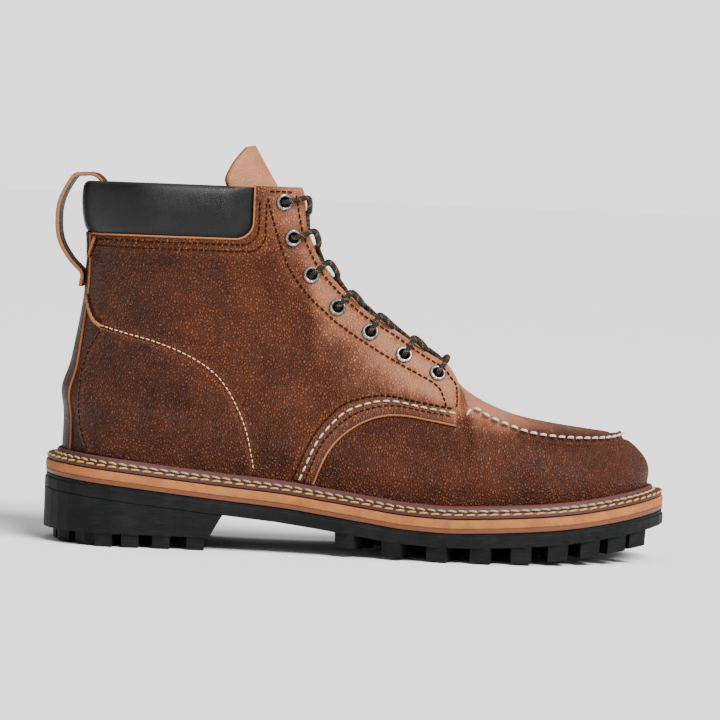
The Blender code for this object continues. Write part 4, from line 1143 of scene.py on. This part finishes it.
def cut_away(piece, tool):
    apply_modifier(
        piece, "BOOLEAN", operation="DIFFERENCE", object=tool, solver="EXACT", material_mode="TRANSFER"
    )
    mesh = tool.data
    bpy.data.objects.remove(tool)
    bpy.data.meshes.remove(mesh)


def eyelet_seats():
    """Side, number, point and normal of each eyelet, averaged over its rim."""
    seats = []
    for side in (-1, 1):
        for number, (along, high) in enumerate(EYELET_PLACES, 1):
            x, z = along * SOLE_LENGTH, high * SHAFT_HEIGHT
            middle, _ = SKINS[side].locate(x, z)
            reach = 0.0044
            ring = []
            for k in range(8):
                turn = k * math.pi / 4
                place, _ = SKINS[side].locate(x + reach * math.cos(turn), z + reach * math.sin(turn))
                ring.append(place)
            normal = np.cross(ring[4] - ring[0], ring[6] - ring[2])
            normal /= np.linalg.norm(normal)
            if normal[1] * side < 0:
                normal = -normal
            lift = max(np.dot(p - middle, normal) for p in ring)
            seats.append((side, number, middle + normal * max(lift, 0.0), normal))
    return seats


def frame_on(normal):
    """Two directions square to a normal."""
    one = np.cross(normal, [0.0, 0.0, 1.0])
    one /= np.linalg.norm(one)
    return one, np.cross(normal, one)


def hole_cutter():
    points, faces = [], []
    radius = EYELET_BORE / 2 + 0.0008
    for _, _, place, normal in eyelet_seats():
        one, two = frame_on(normal)
        start = len(points)
        for depth in (0.004, -0.008):
            for k in range(HOLE_SIDES):
                turn = 2 * math.pi * k / HOLE_SIDES
                away = one * math.cos(turn) + two * math.sin(turn)
                points.append(place + normal * depth + radius * away)
        end = start + HOLE_SIDES
        for k in range(HOLE_SIDES):
            j = (k + 1) % HOLE_SIDES
            faces.append((start + k, start + j, end + j, end + k))
        faces.append(tuple(range(start, end))[::-1])
        faces.append(tuple(range(end, end + HOLE_SIDES)))
    return outward(new_piece("hole_cutter", points, faces, [MATERIALS["edge"]], smooth=False))


def make_eyelets():
    """Turned metal rings with a rolled rim and a barrel through the leather."""
    bore, outer = EYELET_BORE / 2, EYELET_OUTER / 2
    # The profile closes the bore with a disc at the barrel's foot, made near-black as painted shadow.
    profile = [(0.0002, -BARREL), (bore - 0.0002, -BARREL), (bore, -0.0012), (bore - 0.0001, 0.0)]
    for k in range(9):
        turn = math.pi - k * math.pi / 8
        middle, half = (bore + outer) / 2, (outer - bore) / 2
        profile.append((middle + half * math.cos(turn), 0.0002 + 0.00105 * math.sin(turn)))
    profile += [(outer - 0.0001, -0.0002), (bore + 0.0005, -0.0002), (bore + 0.0005, -BARREL)]
    count = len(profile)
    faces = grid_faces(EYELET_STEPS, count, wrap=True, around=True)
    for side, number, place, normal in eyelet_seats():
        one, two = frame_on(normal)
        points = []
        for i in range(EYELET_STEPS):
            turn = 2 * math.pi * i / EYELET_STEPS
            away = one * math.cos(turn) + two * math.sin(turn)
            for r, h in profile:
                points.append(place + away * r + normal * h)
        name = f"{SIDE_NAMES[side]}_{number}"
        piece = new_piece(f"eyelet_ring_{name}", points, faces, [MATERIALS["metal"], MATERIALS["barrel"]])
        outward(piece)
        # The bore's closing disc and lower wall take the painted shadow material.
        for i in range(EYELET_STEPS):
            for inside in (0, 1):
                piece.data.polygons[i * count + inside].material_index = 1
        only(piece)
        bpy.ops.object.shade_smooth_by_angle(angle=math.radians(45))
        finish_piece(piece, "eyelet_metal", f"eyelet_{name}")


def station_at(side, x, z, low=0.0, high=0.40):
    """The station whose section passes a place in side view, found by halving."""
    for _ in range(26):
        middle = (low + high) / 2
        if at_height(upper_section(middle, side), z)[0] < x:
            low = middle
        else:
            high = middle
    return (low + high) / 2


def collar_ring(side, low_station, top_station, close):
    """One ring of the padded band, drawn in under the quarter as close falls to 0 at its front end."""
    here = float(at_height(upper_section(low_station, side), COLLAR_LOW + 0.004)[0])
    reach = max(here - (COLLAR_FRONT + COLLAR_TUCK - COLLAR_CORNER), 0.0)
    raised = COLLAR_CORNER - math.sqrt(max(COLLAR_CORNER**2 - min(reach, COLLAR_CORNER) ** 2, 0.0))
    bottom = COLLAR_LOW + raised
    ring = []
    for share, out in COLLAR_SECTION:
        z = bottom + (SHAFT_HEIGHT - 0.0006 - bottom) * share
        station = low_station + (top_station - low_station) * (z - COLLAR_LOW) / COLLAR_BAND
        place, normal = level_seat(station, side, z)
        drawn_in = 0.0034 if out < -0.003 else 0.0014
        ring.append(place + normal * (out * close - drawn_in * (1 - close)))
    return ring


def make_collar():
    """Padded band: a rounded section run round the back between its two front corners."""
    columns = 46
    halves = {}
    for side in (-1, 1):
        top_end = station_at(side, COLLAR_FRONT + COLLAR_TUCK, SHAFT_HEIGHT - 0.001)
        low_end = station_at(side, COLLAR_FRONT + COLLAR_TUCK, COLLAR_LOW + COLLAR_CORNER)
        halves[side] = []
        for k in range(columns + 1):
            share = 1 - (1 - k / columns) ** 1.25
            close = float(ease((1 - share) * columns, 0.4, 3.2))
            halves[side].append(collar_ring(side, low_end * share, top_end * share, close))
    rings = halves[-1][::-1] + halves[1][1:]
    points = [point for ring in rings for point in ring]
    faces = tube_faces(len(rings), len(COLLAR_SECTION))
    piece = outward(new_piece("padded_collar", points, faces, [MATERIALS["collar"]]))
    apply_modifier(piece, "SUBSURF", levels=1, render_levels=1)
    finish_piece(piece, "collar_leather", "collar")
    return piece


def make_wing(side):
    """The quarter's front end over the vamp: a raw step below, blending in above."""
    skin = SKINS[side]
    columns, rows = 90, 22
    bottom = smooth_line(sized(WING_EDGE), columns)
    top = smooth_line(sized(WING_TOP), columns)
    points = np.zeros((rows, columns, 3))
    normals = np.zeros((rows, columns, 3))
    heights = np.zeros((rows, columns))
    for j in range(columns):
        for i in range(rows):
            v = (i / (rows - 1)) ** 1.3
            x, z = bottom[j] * (1 - v) + top[j] * v
            points[i, j], normals[i, j] = skin.locate(x, z)
            edge = ease(v, 0.0, 0.06)
            blend = 1 - ease(v, 0.30, 0.96)
            heights[i, j] = (OVERLAY + 0.0004) * (0.62 + 0.38 * edge) * blend + 0.00008
    name = SIDE_NAMES[side]
    materials = [MATERIALS["wing_leather"], MATERIALS["edge"]]
    piece = slab(f"quarter_wing_{name}", points, normals, heights, materials)
    put_shade(piece)
    return finish_piece(piece, "upper_leather", f"wing_{name}")


def make_counter(side):
    """Heel counter panel: its upper edge sewn to the quarter and its rear edge left raw."""
    skin = SKINS[side]
    columns, rows = 70, 46
    seam = smooth_line(sized(COUNTER_SEAM[::-1]), columns)
    rear = smooth_line(sized(COUNTER_BACK), rows)
    foot_x = np.linspace(rear[-1][0], seam[-1][0], columns)
    foot = np.array([(x, float(midsole_top(x)) + WELT_THICKNESS + 0.0012) for x in foot_x])
    points = np.zeros((rows, columns, 3))
    normals = np.zeros((rows, columns, 3))
    heights = np.zeros((rows, columns))
    for j in range(columns):
        for i in range(rows):
            v = i / (rows - 1)
            u = j / (columns - 1)
            first, here, last = (seam[k] * (1 - v) + foot[k] * v for k in (0, j, -1))
            x, z = here + (rear[i] * (1 - u) + last * u) - (first * (1 - u) + last * u)
            points[i, j], normals[i, j] = skin.locate(x, z)
            edge = min(ease(v, 0.0, 0.03), ease(u, 0.0, 0.03), ease(1 - u, 0.0, 0.02))
            heights[i, j] = (OVERLAY + 0.0003) * (0.6 + 0.4 * edge)
    name = SIDE_NAMES[side]
    materials = [MATERIALS["leather"], MATERIALS["edge"]]
    piece = slab(f"heel_counter_{name}", points, normals, heights, materials)
    put_shade(piece)
    return finish_piece(piece, "upper_leather", f"counter_{name}")


def make_backstay():
    """The strip up the back: a band of the skin across the middle line."""
    rows, columns = 60, 25
    points = np.zeros((rows, columns, 3))
    normals = np.zeros((rows, columns, 3))
    heights = np.full((rows, columns), BACKSTAY_THICKNESS + GAP)
    low = float(midsole_top(0.014)) + WELT_THICKNESS + 0.003
    reach = 0.088
    for i in range(rows):
        z = low + (COLLAR_LOW - low) * i / (rows - 1)
        for j in range(columns):
            across = -1 + 2 * j / (columns - 1)
            side = -1 if across < 0 else 1
            points[i, j], normals[i, j] = level_seat(abs(across) * reach, side, z)
    piece = slab("back_strip", points, normals, heights, [MATERIALS["stay"], MATERIALS["edge"]])
    return finish_piece(piece, "upper_leather", "backstay")


def throat_profile(share):
    """Side view of the eyestay's edge: share 0 at the foot of the throat, 1 at the collar."""
    rows = np.array([row for row in UPPER_SECTIONS if 0.31 < row[0] < 0.625])[::-1]
    x, z = rows[:, 1] * SOLE_LENGTH, rows[:, 3] * SHAFT_HEIGHT
    run = np.concatenate([[0], np.cumsum(np.hypot(np.diff(x), np.diff(z)))])
    run /= run[-1]
    return tuple(float(through(run, values, share)) for values in (x, z, rows[:, 2] * BALL_WIDTH))


def throat_slope(share, step):
    """Direction of the eyestay's edge in side view, going up."""
    behind = throat_profile(max(share - step, 0.0))
    ahead = throat_profile(min(share + step, 1.0))
    return Vector((ahead[0] - behind[0], ahead[1] - behind[1])).normalized()


def tongue_column(name, share):
    table = np.array(TONGUE_SECTIONS)
    return float(through(table[:, 0], table[:, TONGUE_COLUMNS.index(name)], share))


def tongue_point(share, across, extra=0.0):
    """A place on the tongue: share up it, across from -1 to 1, extra toward the foot."""
    level = min(share, 1.0)
    x, z, _ = throat_profile(level)
    slope = throat_slope(level, 0.03)
    past = (share - level) * TONGUE_RISE
    x -= TONGUE_LEAN * past
    z += past
    middle = swing_at(x, z)
    curl = TONGUE_CURL * tongue_column("curl", share) * across**2
    reach = TONGUE_BACK * tongue_column("back", share) + curl + extra
    width = across * TONGUE_HALF * tongue_column("half", share)
    return np.array([x - slope.y * reach, middle + width, z + slope.x * reach])


def make_tongue():
    """Soft leather tongue, curled round the ankle and rounded at its top."""
    shares = np.concatenate([np.linspace(0.0, 1.0, 46), np.linspace(1.03, 2.0, 30)])
    across = np.linspace(-1, 1, 31)
    thickness = 0.0021
    outer = np.array([[tongue_point(share, a) for a in across] for share in shares])
    inner = np.array([[tongue_point(share, a, thickness) for a in across] for share in shares])
    piece = sheet("soft_tongue", outer, inner, [MATERIALS["tongue"], MATERIALS["edge"]])
    return finish_piece(piece, "tongue_leather", "tongue")


def back_line(z):
    return float(at_height(upper_section(0.0, -1), z)[0])


def make_pull_loop():
    """A strap sewn above the counter, standing off behind the collar and folded over its top."""
    top = SHAFT_HEIGHT
    seat = BACKSTAY_THICKNESS + 3 * GAP
    rear = back_line(top)
    over = COLLAR_THICKNESS - COLLAR_BULGE + 3 * GAP
    path = [(back_line(top - drop) - seat, top - drop) for drop in (LOOP_HEIGHT, LOOP_HEIGHT - LOOP_SEWN)]
    free = ((0.42, 0.74), (0.86, 0.58), (1.00, 0.40), (0.90, 0.20), (0.44, 0.00))
    path += [(rear - reach * LOOP_REACH, top - drop * LOOP_HEIGHT) for reach, drop in free]
    path += [
        (rear - COLLAR_BULGE - GAP, top + 0.0014), (rear + over, top + 0.0012),
        (rear + over + 0.0042, top - 0.004), (rear + over + 0.0046, top - 0.011),
    ]
    rows, columns = 70, 13
    line = smooth_line(path, rows)
    tangent = np.gradient(line, axis=0)
    tangent /= np.linalg.norm(tangent, axis=1, keepdims=True)
    outer = np.zeros((rows, columns, 3))
    normals = np.zeros((rows, columns, 3))
    for i, (x, z) in enumerate(line):
        for j in range(columns):
            across = -1 + 2 * j / (columns - 1)
            outer[i, j] = (x, across * LOOP_WIDTH / 2, z)
            normals[i, j] = (-tangent[i, 1], 0.0, tangent[i, 0])
    heights = np.full((rows, columns), LOOP_THICKNESS)
    heights[:, [0, -1]] *= 0.8
    materials = [MATERIALS["stay"], MATERIALS["edge"]]
    piece = slab("heel_pull_loop", outer, normals, heights, materials, sink=0.0)
    return finish_piece(piece, "upper_leather", "pull_loop")


def ring_piece(name, base, layers, stations, material, closed_band=False):
    """A plate, or with closed_band a band, run round the sole's outline.

    Its layers are inset, height above the base and tone of the cut edge.
    """
    loop = [(w, -1) for w in stations] + [(w, 1) for w in stations[::-1]]
    points, tones = [], []
    for w, side in loop:
        for inset, rise, tone in layers:
            x, y = inset_edge(w, side, inset)
            points.append((x, y, base(x) + rise))
            tones.append(tone)
    count = len(layers)
    total = len(loop)
    faces = grid_faces(total, count, wrap=closed_band, around=True)
    if not closed_band:
        half = len(stations)
        for i in range(half - 1):
            near_a, near_b = i * count, (i + 1) * count
            far_a, far_b = (total - 1 - i) * count, (total - 2 - i) * count
            last = count - 1
            faces.append((near_a, far_a, far_b, near_b))
            faces.append((near_a + last, near_b + last, far_b + last, far_a + last))
    piece = new_piece(name, points, faces, [material])
    layer = piece.data.attributes.new("tone", "FLOAT", "POINT")
    layer.data.foreach_set("value", tones)
    outward(piece)
    only(piece)
    bpy.ops.object.shade_smooth_by_angle(angle=math.radians(38))
    return piece


def dense_stations(count=150):
    return np.linspace(0.004, 0.996, count)


def make_midsole():
    layers = (
        (0.0012, 0.0, 0.0), (0.0005, 0.0003, 0.0), (0.0004, 0.0020, 0.0), (0.0007, 0.00225, 0.0),
        (0.0007, 0.00245, 1.0), (0.0003, 0.0027, 1.0), (0.0002, 0.0045, 1.0), (0.0005, 0.0062, 1.0),
        (0.0012, MIDSOLE_THICKNESS, 1.0),
    )
    piece = ring_piece("midsole_leather_edge", over_rubber, layers, dense_stations(), MATERIALS["midsole"])
    return finish_piece(piece, "midsole_leather", "midsole")


def make_welt():
    inner = WELT_REACH - 2 * GAP
    rib = inner - RIB_WIDTH
    t = WELT_THICKNESS
    layers = (
        (inner, 0.0, 0.0), (0.0015, 0.0, 0.0), (0.0009, 0.0004, 0.3), (0.0009, t - 0.0012, 0.25),
        (0.0013, t - 0.0005, 0.1), (0.0021, t - 0.0002, 0.0), (rib - 0.0012, t - 0.0001, 0.0),
        (rib - 0.0004, t, 0.0), (rib + 0.0001, t + 0.0007, 0.25), (rib + 0.0003, t + 0.0019, 0.7),
        (rib + 0.0008, t + 0.0026, 1.0), (inner - 0.0009, t + RIB_HEIGHT, 1.0),
        (inner - 0.0002, t + RIB_HEIGHT - 0.0004, 0.8), (inner, t, 0.0),
    )
    stations = dense_stations(220)
    piece = ring_piece("storm_welt", over_midsole, layers, stations, MATERIALS["welt"], closed_band=True)
    return finish_piece(piece, "welt_leather", "welt")


def outline_path(inset, rise, start=0.02, end=0.98, count=420):
    """A path round the sole's outline, with normals pointing out and up."""
    points, normals = [], []
    loop = [(w, -1) for w in np.linspace(start, end, count)]
    loop += [(w, 1) for w in np.linspace(end, start, count)]
    for w, side in loop:
        x, y = inset_edge(w, side, inset)
        points.append((x, y, over_midsole(x) + rise))
        out = inset_edge(w, side, 0.0) - inset_edge(w, side, 0.002)
        out /= max(np.linalg.norm(out), 1e-9)
        normals.append((out[0] * 0.75, out[1] * 0.75, 0.66))
    return np.array(points), np.array(normals)


def make_welt_stitches():
    """Two rows round the welt: cream along the foot of the rib, gold along the outer edge."""
    rib = WELT_REACH - 2 * GAP - RIB_WIDTH
    path, normals = outline_path(rib - 0.0006, WELT_THICKNESS + 0.0004)
    rows = [(path, normals, 0.0050, 0.0043, 0.00062, 0.12)]
    finish_piece(stitch_rows("welt_stitches_cream", rows, MATERIALS["cream_thread"]), "lace_cord")
    path, normals = outline_path(0.0010, WELT_THICKNESS - 0.0009)
    rows = [(path, normals, 0.0056, 0.0044, 0.00050, -0.10)]
    finish_piece(stitch_rows("welt_stitches_gold", rows, MATERIALS["gold_thread"]), "lace_cord")


def offset_path(path, normals, by):
    """Move a path sideways on the surface."""
    tangent = np.gradient(path, axis=0)
    side = np.cross(tangent, normals)
    side /= np.maximum(np.linalg.norm(side, axis=1, keepdims=True), 1e-12)
    return path + side * by


SEAMS = []


def seam_rows():
    """Every row on the upper as path, normals, pitch, length, radius and lean, by colour of thread."""
    if SEAMS:
        return SEAMS[0]
    dark, white = [], []
    up = 0.0004
    for side in (-1, 1):
        skin = SKINS[side]

        def dark_row(line, pitch=0.0030, radius=0.00040, lift=up, shift=0.0):
            path, normals = skin.trace(line, 240)
            path = offset_path(path, normals, shift)
            dark.append((path + normals * lift, normals, pitch, pitch * 0.78, radius, 0.05))

        for away in (0.0030, 0.0062):
            dark_row(shared(collar_line(-away)[1:-1]))
        dark_row(EYESTAY_STITCH)
        dark_row(((0.346, 0.986), (0.368, 0.987), (0.389, 0.985)))
        front = []
        for share in np.linspace(0.975, 0.02, 40):
            x, z, _ = throat_profile(share)
            slope = throat_slope(share, 0.02)
            front.append((x - slope.y * 0.0024, z + slope.x * 0.0024))
        dark_row(shared(front) + [(0.654, 0.470), (0.656, 0.430), (0.655, 0.408)])
        dark_row(WING_TOP, lift=up + 0.0002, radius=0.00046)
        dark_row(between(WING_EDGE, WING_TOP, 0.42), lift=0.0017, radius=0.00046)
        path, normals = skin.trace(between(WING_EDGE, WING_TOP, 0.68), 240)
        white.append((path + normals * 0.0013, normals, 0.0046, 0.0034, 0.00052, 0.0))
        path, normals = skin.trace(COUNTER_SEAM, 240)
        path = offset_path(path, normals, -0.0012 * side)
        white.append((path + normals * (OVERLAY + 0.0005), normals, 0.0027, 0.0019, 0.00026, 0.0))
        dark_row(COUNTER_BACK, lift=OVERLAY + up, shift=0.0022 * side)
        dark_row(QUARTER_BACK, lift=up, shift=0.0022 * side)
    SEAMS.append((dark, white))
    return SEAMS[0]


def between(one, two, share):
    return [(a + (c - a) * share, b + (d - b) * share) for (a, b), (c, d) in zip(one, two)]


def make_upper_stitches():
    """All the rows on the upper, one piece for each colour of thread."""
    dark, white = seam_rows()
    finish_piece(stitch_rows("upper_stitches_dark", dark, MATERIALS["dark_thread"]), "lace_cord")
    finish_piece(stitch_rows("upper_stitches_white", white, MATERIALS["white_thread"]), "lace_cord")


def make_moc_stitches():
    """Thick white stitches over the raised seam round the toe."""
    path, normals = [], []
    for side in (-1, 1):
        skin = SKINS[side]
        level = skin.seam_level
        rows = [i for i, w in enumerate(skin.stations) if w >= SEAM_START - 0.010]
        if side > 0:
            rows = rows[::-1]
        for i in rows:
            out = skin.points[i, level - 5] - skin.points[i, level + 5]
            out[2] = 0.0
            out /= max(np.linalg.norm(out), 1e-9)
            path.append(skin.points[i, level] + out * 0.0013 - np.array([0, 0, 0.0011]))
            normals.append(out * 0.8 + np.array([0, 0, 0.6]))
    rows = [(np.array(path), np.array(normals), 0.0050, 0.0037, 0.00068, 0.0)]
    finish_piece(stitch_rows("moc_stitches", rows, MATERIALS["white_thread"]), "lace_cord")


def make_edges():
    """Beads of raw cut leather along the quarter's edges."""
    # name, line, points along it, lift off the skin, radius and flatness
    beads = (
        ("collar_edge", shared(collar_line(-0.0004)[1:]), 160, 0.0001, 0.00045, 0.8),
        ("wing_edge", WING_EDGE, 140, 0.0007, 0.00062, 0.9),
        ("quarter_edge", QUARTER_BACK, 80, 0.0006, 0.0009, 0.9),
    )
    for side in (-1, 1):
        for name, line, count, lift, radius, flat in beads:
            path, normals = SKINS[side].trace(line, count)
            path = path + normals * lift
            piece = tube(f"{name}_{SIDE_NAMES[side]}", path, radius, 8, MATERIALS["edge"], flat, normals)
            finish_piece(piece, "upper_leather")


def edge_marks():
    """Point of the eyestay's edge beside each eyelet and the way out of the throat."""
    shares = np.linspace(0, 1, 201)
    profiles = [throat_profile(share) for share in shares]
    marks = {}
    for side, number, place, normal in eyelet_seats():
        away = [math.hypot(x - place[0], z - place[2]) for x, z, _ in profiles]
        nearest = int(np.argmin(away))
        x, z, half = profiles[nearest]
        slope = throat_slope(shares[nearest], 0.02)
        out = np.array([slope.y, 0.0, -slope.x])
        marks[side, number] = (np.array([x, swing_at(x, z) + side * half, z]), out, place, normal)
    return marks


def lace_route():
    """The lace from one hidden end, down through the eyelets, across the bar and up again."""
    marks = edge_marks()
    count = len(EYELET_PLACES)

    def half_route(start_side):
        """From the bar's end up to the top eyelet on alternating sides."""
        route = []
        side = start_side
        for level in range(count, 0, -1):
            edge, out, seat, normal = marks[side, level]
            route.append(seat + normal * 0.0012)
            route.append(seat - normal * 0.0010)
            route.append(seat - normal * 0.0036 + (edge - seat) * 0.18)
            if level == 1:
                route.append(seat - normal * 0.0042 - np.array([0.004, 0.0, 0.010]))
                break
            inside = edge - out * 0.0008 + (marks[-side, level][0] - edge) * 0.20
            route.append(inside)
            other, other_out, other_seat, other_normal = marks[-side, level - 1]
            over = 0.0012 * start_side
            route.append(inside * 0.5 + other * 0.5 + (out + other_out) * 0.5 * over)
            loose = 0.0034 if level <= 4 else 0.0020
            below = other * 0.62 + marks[-side, level][0] * 0.38
            route.append(below + other_out * (loose - 0.0012))
            bowed = other + other_out * loose + (other_seat - other) * 0.06
            route.append(bowed + np.array([0, -side * 0.0008, 0]))
            route.append(other * 0.45 + other_seat * 0.55 + other_normal * 0.0021 + other_out * 0.0006)
            side = -side
        return route

    one = half_route(-1)
    two = half_route(1)
    left, left_out, left_seat, left_normal = marks[-1, count]
    right, right_out, right_seat, right_normal = marks[1, count]
    bar = [
        left_seat * 0.5 + left * 0.5 + left_normal * 0.0018, left + left_out * 0.0019,
        (left + right) / 2 + left_out * 0.0030, right + right_out * 0.0019,
        right_seat * 0.5 + right * 0.5 + right_normal * 0.0018,
    ]
    return np.array(one[::-1] + bar + two)


def make_lace():
    """One round braided lace run through all the eyelets."""
    route = lace_route()
    path = smooth_line(route, LACE_POINTS)
    for _ in range(6):
        path[1:-1] = path[1:-1] * 0.5 + (path[:-2] + path[2:]) * 0.25
    points, faces = tube_mesh(path, LACE_DIAMETER / 2, LACE_SIDES)
    piece = new_piece("boot_lace", points, faces, [MATERIALS["lace"]])
    run = run_length(path)
    uv = piece.data.uv_layers.new(name="run")
    for polygon in piece.data.polygons:
        for loop in polygon.loop_indices:
            vertex = piece.data.loops[loop].vertex_index
            ring, k = divmod(vertex, LACE_SIDES)
            turn = k / LACE_SIDES
            if polygon.loop_total == 4 and k == 0 and any(
                piece.data.loops[other].vertex_index % LACE_SIDES == LACE_SIDES - 1
                for other in polygon.loop_indices
            ):
                turn = 1.0
            uv.data[loop].uv = (run[ring] / (LACE_DIAMETER * 1.6), turn)
    outward(piece, weld=False)
    names = [f"lace_crossing_{i}" for i in range(1, len(EYELET_PLACES))] + ["lace_bar"]
    return finish_piece(piece, "lace_cord", *names)


def dress_rubber():
    """The lugged solids keep their shape and get worn rubber."""
    for name in ("outsole", "heel_block"):
        node = CAD_OBJECTS[name]
        for slot in node.material_slots:
            slot.material = MATERIALS["rubber"]
    for slot in CAD_OBJECTS["insole"].material_slots:
        slot.material = MATERIALS["lining"]


def make_stage(context):
    """Pale floor, soft lights and the camera at the photograph's angle."""
    look = context.scene.boot_look
    bpy.ops.mesh.primitive_plane_add(size=60.0, location=(0.0, 0.0, -0.0002))
    floor = context.object
    floor.name = "floor"
    material, _, shader = new_material("pale_floor", 0.9)
    shader.inputs["Base Color"].default_value = tint(look.floor_colour)
    shader.inputs["Specular IOR Level"].default_value = 0.0
    floor.data.materials.append(material)
    world = bpy.data.worlds.new("studio")
    context.scene.world = world
    world.use_nodes = True
    n = Nodes(world.node_tree)
    background = world.node_tree.nodes["Background"]
    background.inputs["Color"].default_value = (1.0, 1.0, 1.0, 1.0)
    seen = n.add("ShaderNodeLightPath").outputs["Is Camera Ray"]
    strength = n.plus(n.times(seen, look.backdrop - look.sky_strength), look.sky_strength)
    n.put(background, "Strength", strength)
    sun = bpy.data.objects.new("key_light", bpy.data.lights.new("key_light", "SUN"))
    sun.data.energy = look.key_strength
    sun.data.angle = look.key_softness
    sun.rotation_euler = Vector((-0.55, 0.62, -0.90)).to_track_quat("-Z", "Y").to_euler()
    context.scene.collection.objects.link(sun)
    lights = (
        ("top_light", (0.25, 0.45, 1.80), 1.3, look.top_power),
        ("fill_light", (-1.50, -1.50, 0.70), 1.5, look.fill_power),
    )
    for name, place, size, power in lights:
        data = bpy.data.lights.new(name, "AREA")
        data.shape = "DISK"
        data.size = size
        data.energy = power
        lamp = bpy.data.objects.new(name, data)
        context.scene.collection.objects.link(lamp)
        lamp.location = place
        aim = Vector((0.0, 0.0, 0.06)) - Vector(place)
        lamp.rotation_euler = aim.to_track_quat("-Z", "Y").to_euler()
    camera = bpy.data.objects.new("camera", bpy.data.cameras.new("camera"))
    context.scene.collection.objects.link(camera)
    camera.data.sensor_width = 36.0
    camera.data.lens = look.lens
    middle = Vector((0.0, 0.0, look.aim_height))
    camera.location = (middle.x, -look.distance, look.camera_height)
    camera.rotation_mode = "QUATERNION"
    turn = (middle - camera.location).to_track_quat("-Z", "Y")
    camera.rotation_quaternion = turn @ Quaternion((0.0, 0.0, 1.0), look.roll)
    context.scene.camera = camera


# The add-on

class BootLook(bpy.types.PropertyGroup):
    """Sizes and colours of the stage that a user may change."""

    floor_colour: FloatVectorProperty(
        name="Floor colour",
        description="Colour of the pale floor",
        default=(0.95, 0.95, 0.95), subtype="COLOR", size=3,
    )
    sky_strength: FloatProperty(
        name="Sky",
        description="Strength of the surrounding light",
        default=0.40, min=0.0,
    )
    backdrop: FloatProperty(
        name="Backdrop",
        description="Brightness seen behind the boot",
        default=1.98, min=0.0,
    )
    key_strength: FloatProperty(
        name="Key light",
        description="Strength of the main light",
        default=6.5, min=0.0,
    )
    key_softness: FloatProperty(
        name="Softness",
        description="Angle of the main light",
        default=0.55, subtype="ANGLE",
    )
    top_power: FloatProperty(
        name="Top light",
        description="Power of the light above",
        default=6.0, subtype="POWER",
    )
    fill_power: FloatProperty(
        name="Fill light",
        description="Power of the light at the heel",
        default=3.0, subtype="POWER",
    )
    lens: FloatProperty(
        name="Lens",
        description="Focal length in millimetres",
        default=184.5,
    )
    distance: FloatProperty(
        name="Distance",
        description="Camera to boot",
        default=1.8, unit="LENGTH",
    )
    camera_height: FloatProperty(
        name="Camera height",
        description="Over the floor",
        default=0.179, unit="LENGTH",
    )
    aim_height: FloatProperty(
        name="Aim height",
        description="Where the camera looks",
        default=0.092, unit="LENGTH",
    )
    roll: FloatProperty(
        name="Roll",
        description="Camera turned about its own axis",
        default=0.03927, subtype="ANGLE",
    )


class BOOT_OT_upper(bpy.types.Operator):
    """Build the leather upper with its panels"""

    bl_idname = "boot.upper"
    bl_label = "Upper and panels"

    def execute(self, context):
        make_upper()
        for side in (-1, 1):
            make_wing(side)
            make_counter(side)
        make_backstay()
        make_edges()
        return {"FINISHED"}


class BOOT_OT_collar(bpy.types.Operator):
    """Build the padded collar and the pull loop"""

    bl_idname = "boot.collar"
    bl_label = "Collar and pull loop"

    def execute(self, context):
        make_collar()
        make_pull_loop()
        return {"FINISHED"}


class BOOT_OT_tongue(bpy.types.Operator):
    """Build the tongue"""

    bl_idname = "boot.tongue"
    bl_label = "Tongue"

    def execute(self, context):
        make_tongue()
        return {"FINISHED"}


class BOOT_OT_sole(bpy.types.Operator):
    """Build the welt and midsole and dress the rubber"""

    bl_idname = "boot.sole"
    bl_label = "Welt, midsole and rubber"

    def execute(self, context):
        make_midsole()
        make_welt()
        dress_rubber()
        return {"FINISHED"}


class BOOT_OT_stitches(bpy.types.Operator):
    """Sew all the rows of stitches"""

    bl_idname = "boot.stitches"
    bl_label = "Stitches"

    def execute(self, context):
        make_upper_stitches()
        make_moc_stitches()
        make_welt_stitches()
        return {"FINISHED"}


class BOOT_OT_lacing(bpy.types.Operator):
    """Build the eyelets and run the lace through them"""

    bl_idname = "boot.lacing"
    bl_label = "Eyelets and lace"

    def execute(self, context):
        make_eyelets()
        make_lace()
        return {"FINISHED"}


class BOOT_OT_stage(bpy.types.Operator):
    """Build the floor, lights and camera"""

    bl_idname = "boot.stage"
    bl_label = "Stage"

    def execute(self, context):
        make_stage(context)
        return {"FINISHED"}


class BOOT_PT_panel(bpy.types.Panel):
    """Lists the boot's operators"""

    bl_label = "Moc toe boot"
    bl_idname = "BOOT_PT_panel"
    bl_space_type = "VIEW_3D"
    bl_region_type = "UI"
    bl_category = "Boot"

    def draw(self, context):
        for operator in OPERATORS:
            self.layout.operator(operator.bl_idname)
        for name in BootLook.__annotations__:
            self.layout.prop(context.scene.boot_look, name)


OPERATORS = (
    BOOT_OT_stage, BOOT_OT_upper, BOOT_OT_collar, BOOT_OT_tongue, BOOT_OT_sole, BOOT_OT_stitches,
    BOOT_OT_lacing,
)
CLASSES = (BootLook, *OPERATORS, BOOT_PT_panel)


def register():
    for cls in CLASSES:
        bpy.utils.register_class(cls)
    bpy.types.Scene.boot_look = bpy.props.PointerProperty(type=BootLook)


def unregister():
    del bpy.types.Scene.boot_look
    for cls in reversed(CLASSES):
        bpy.utils.unregister_class(cls)


def main():
    register()
    make_materials()
    bpy.ops.boot.stage()
    bpy.ops.boot.upper()
    bpy.ops.boot.collar()
    bpy.ops.boot.tongue()
    bpy.ops.boot.sole()
    bpy.ops.boot.stitches()
    bpy.ops.boot.lacing()


if __name__ == "__main__":
    main()
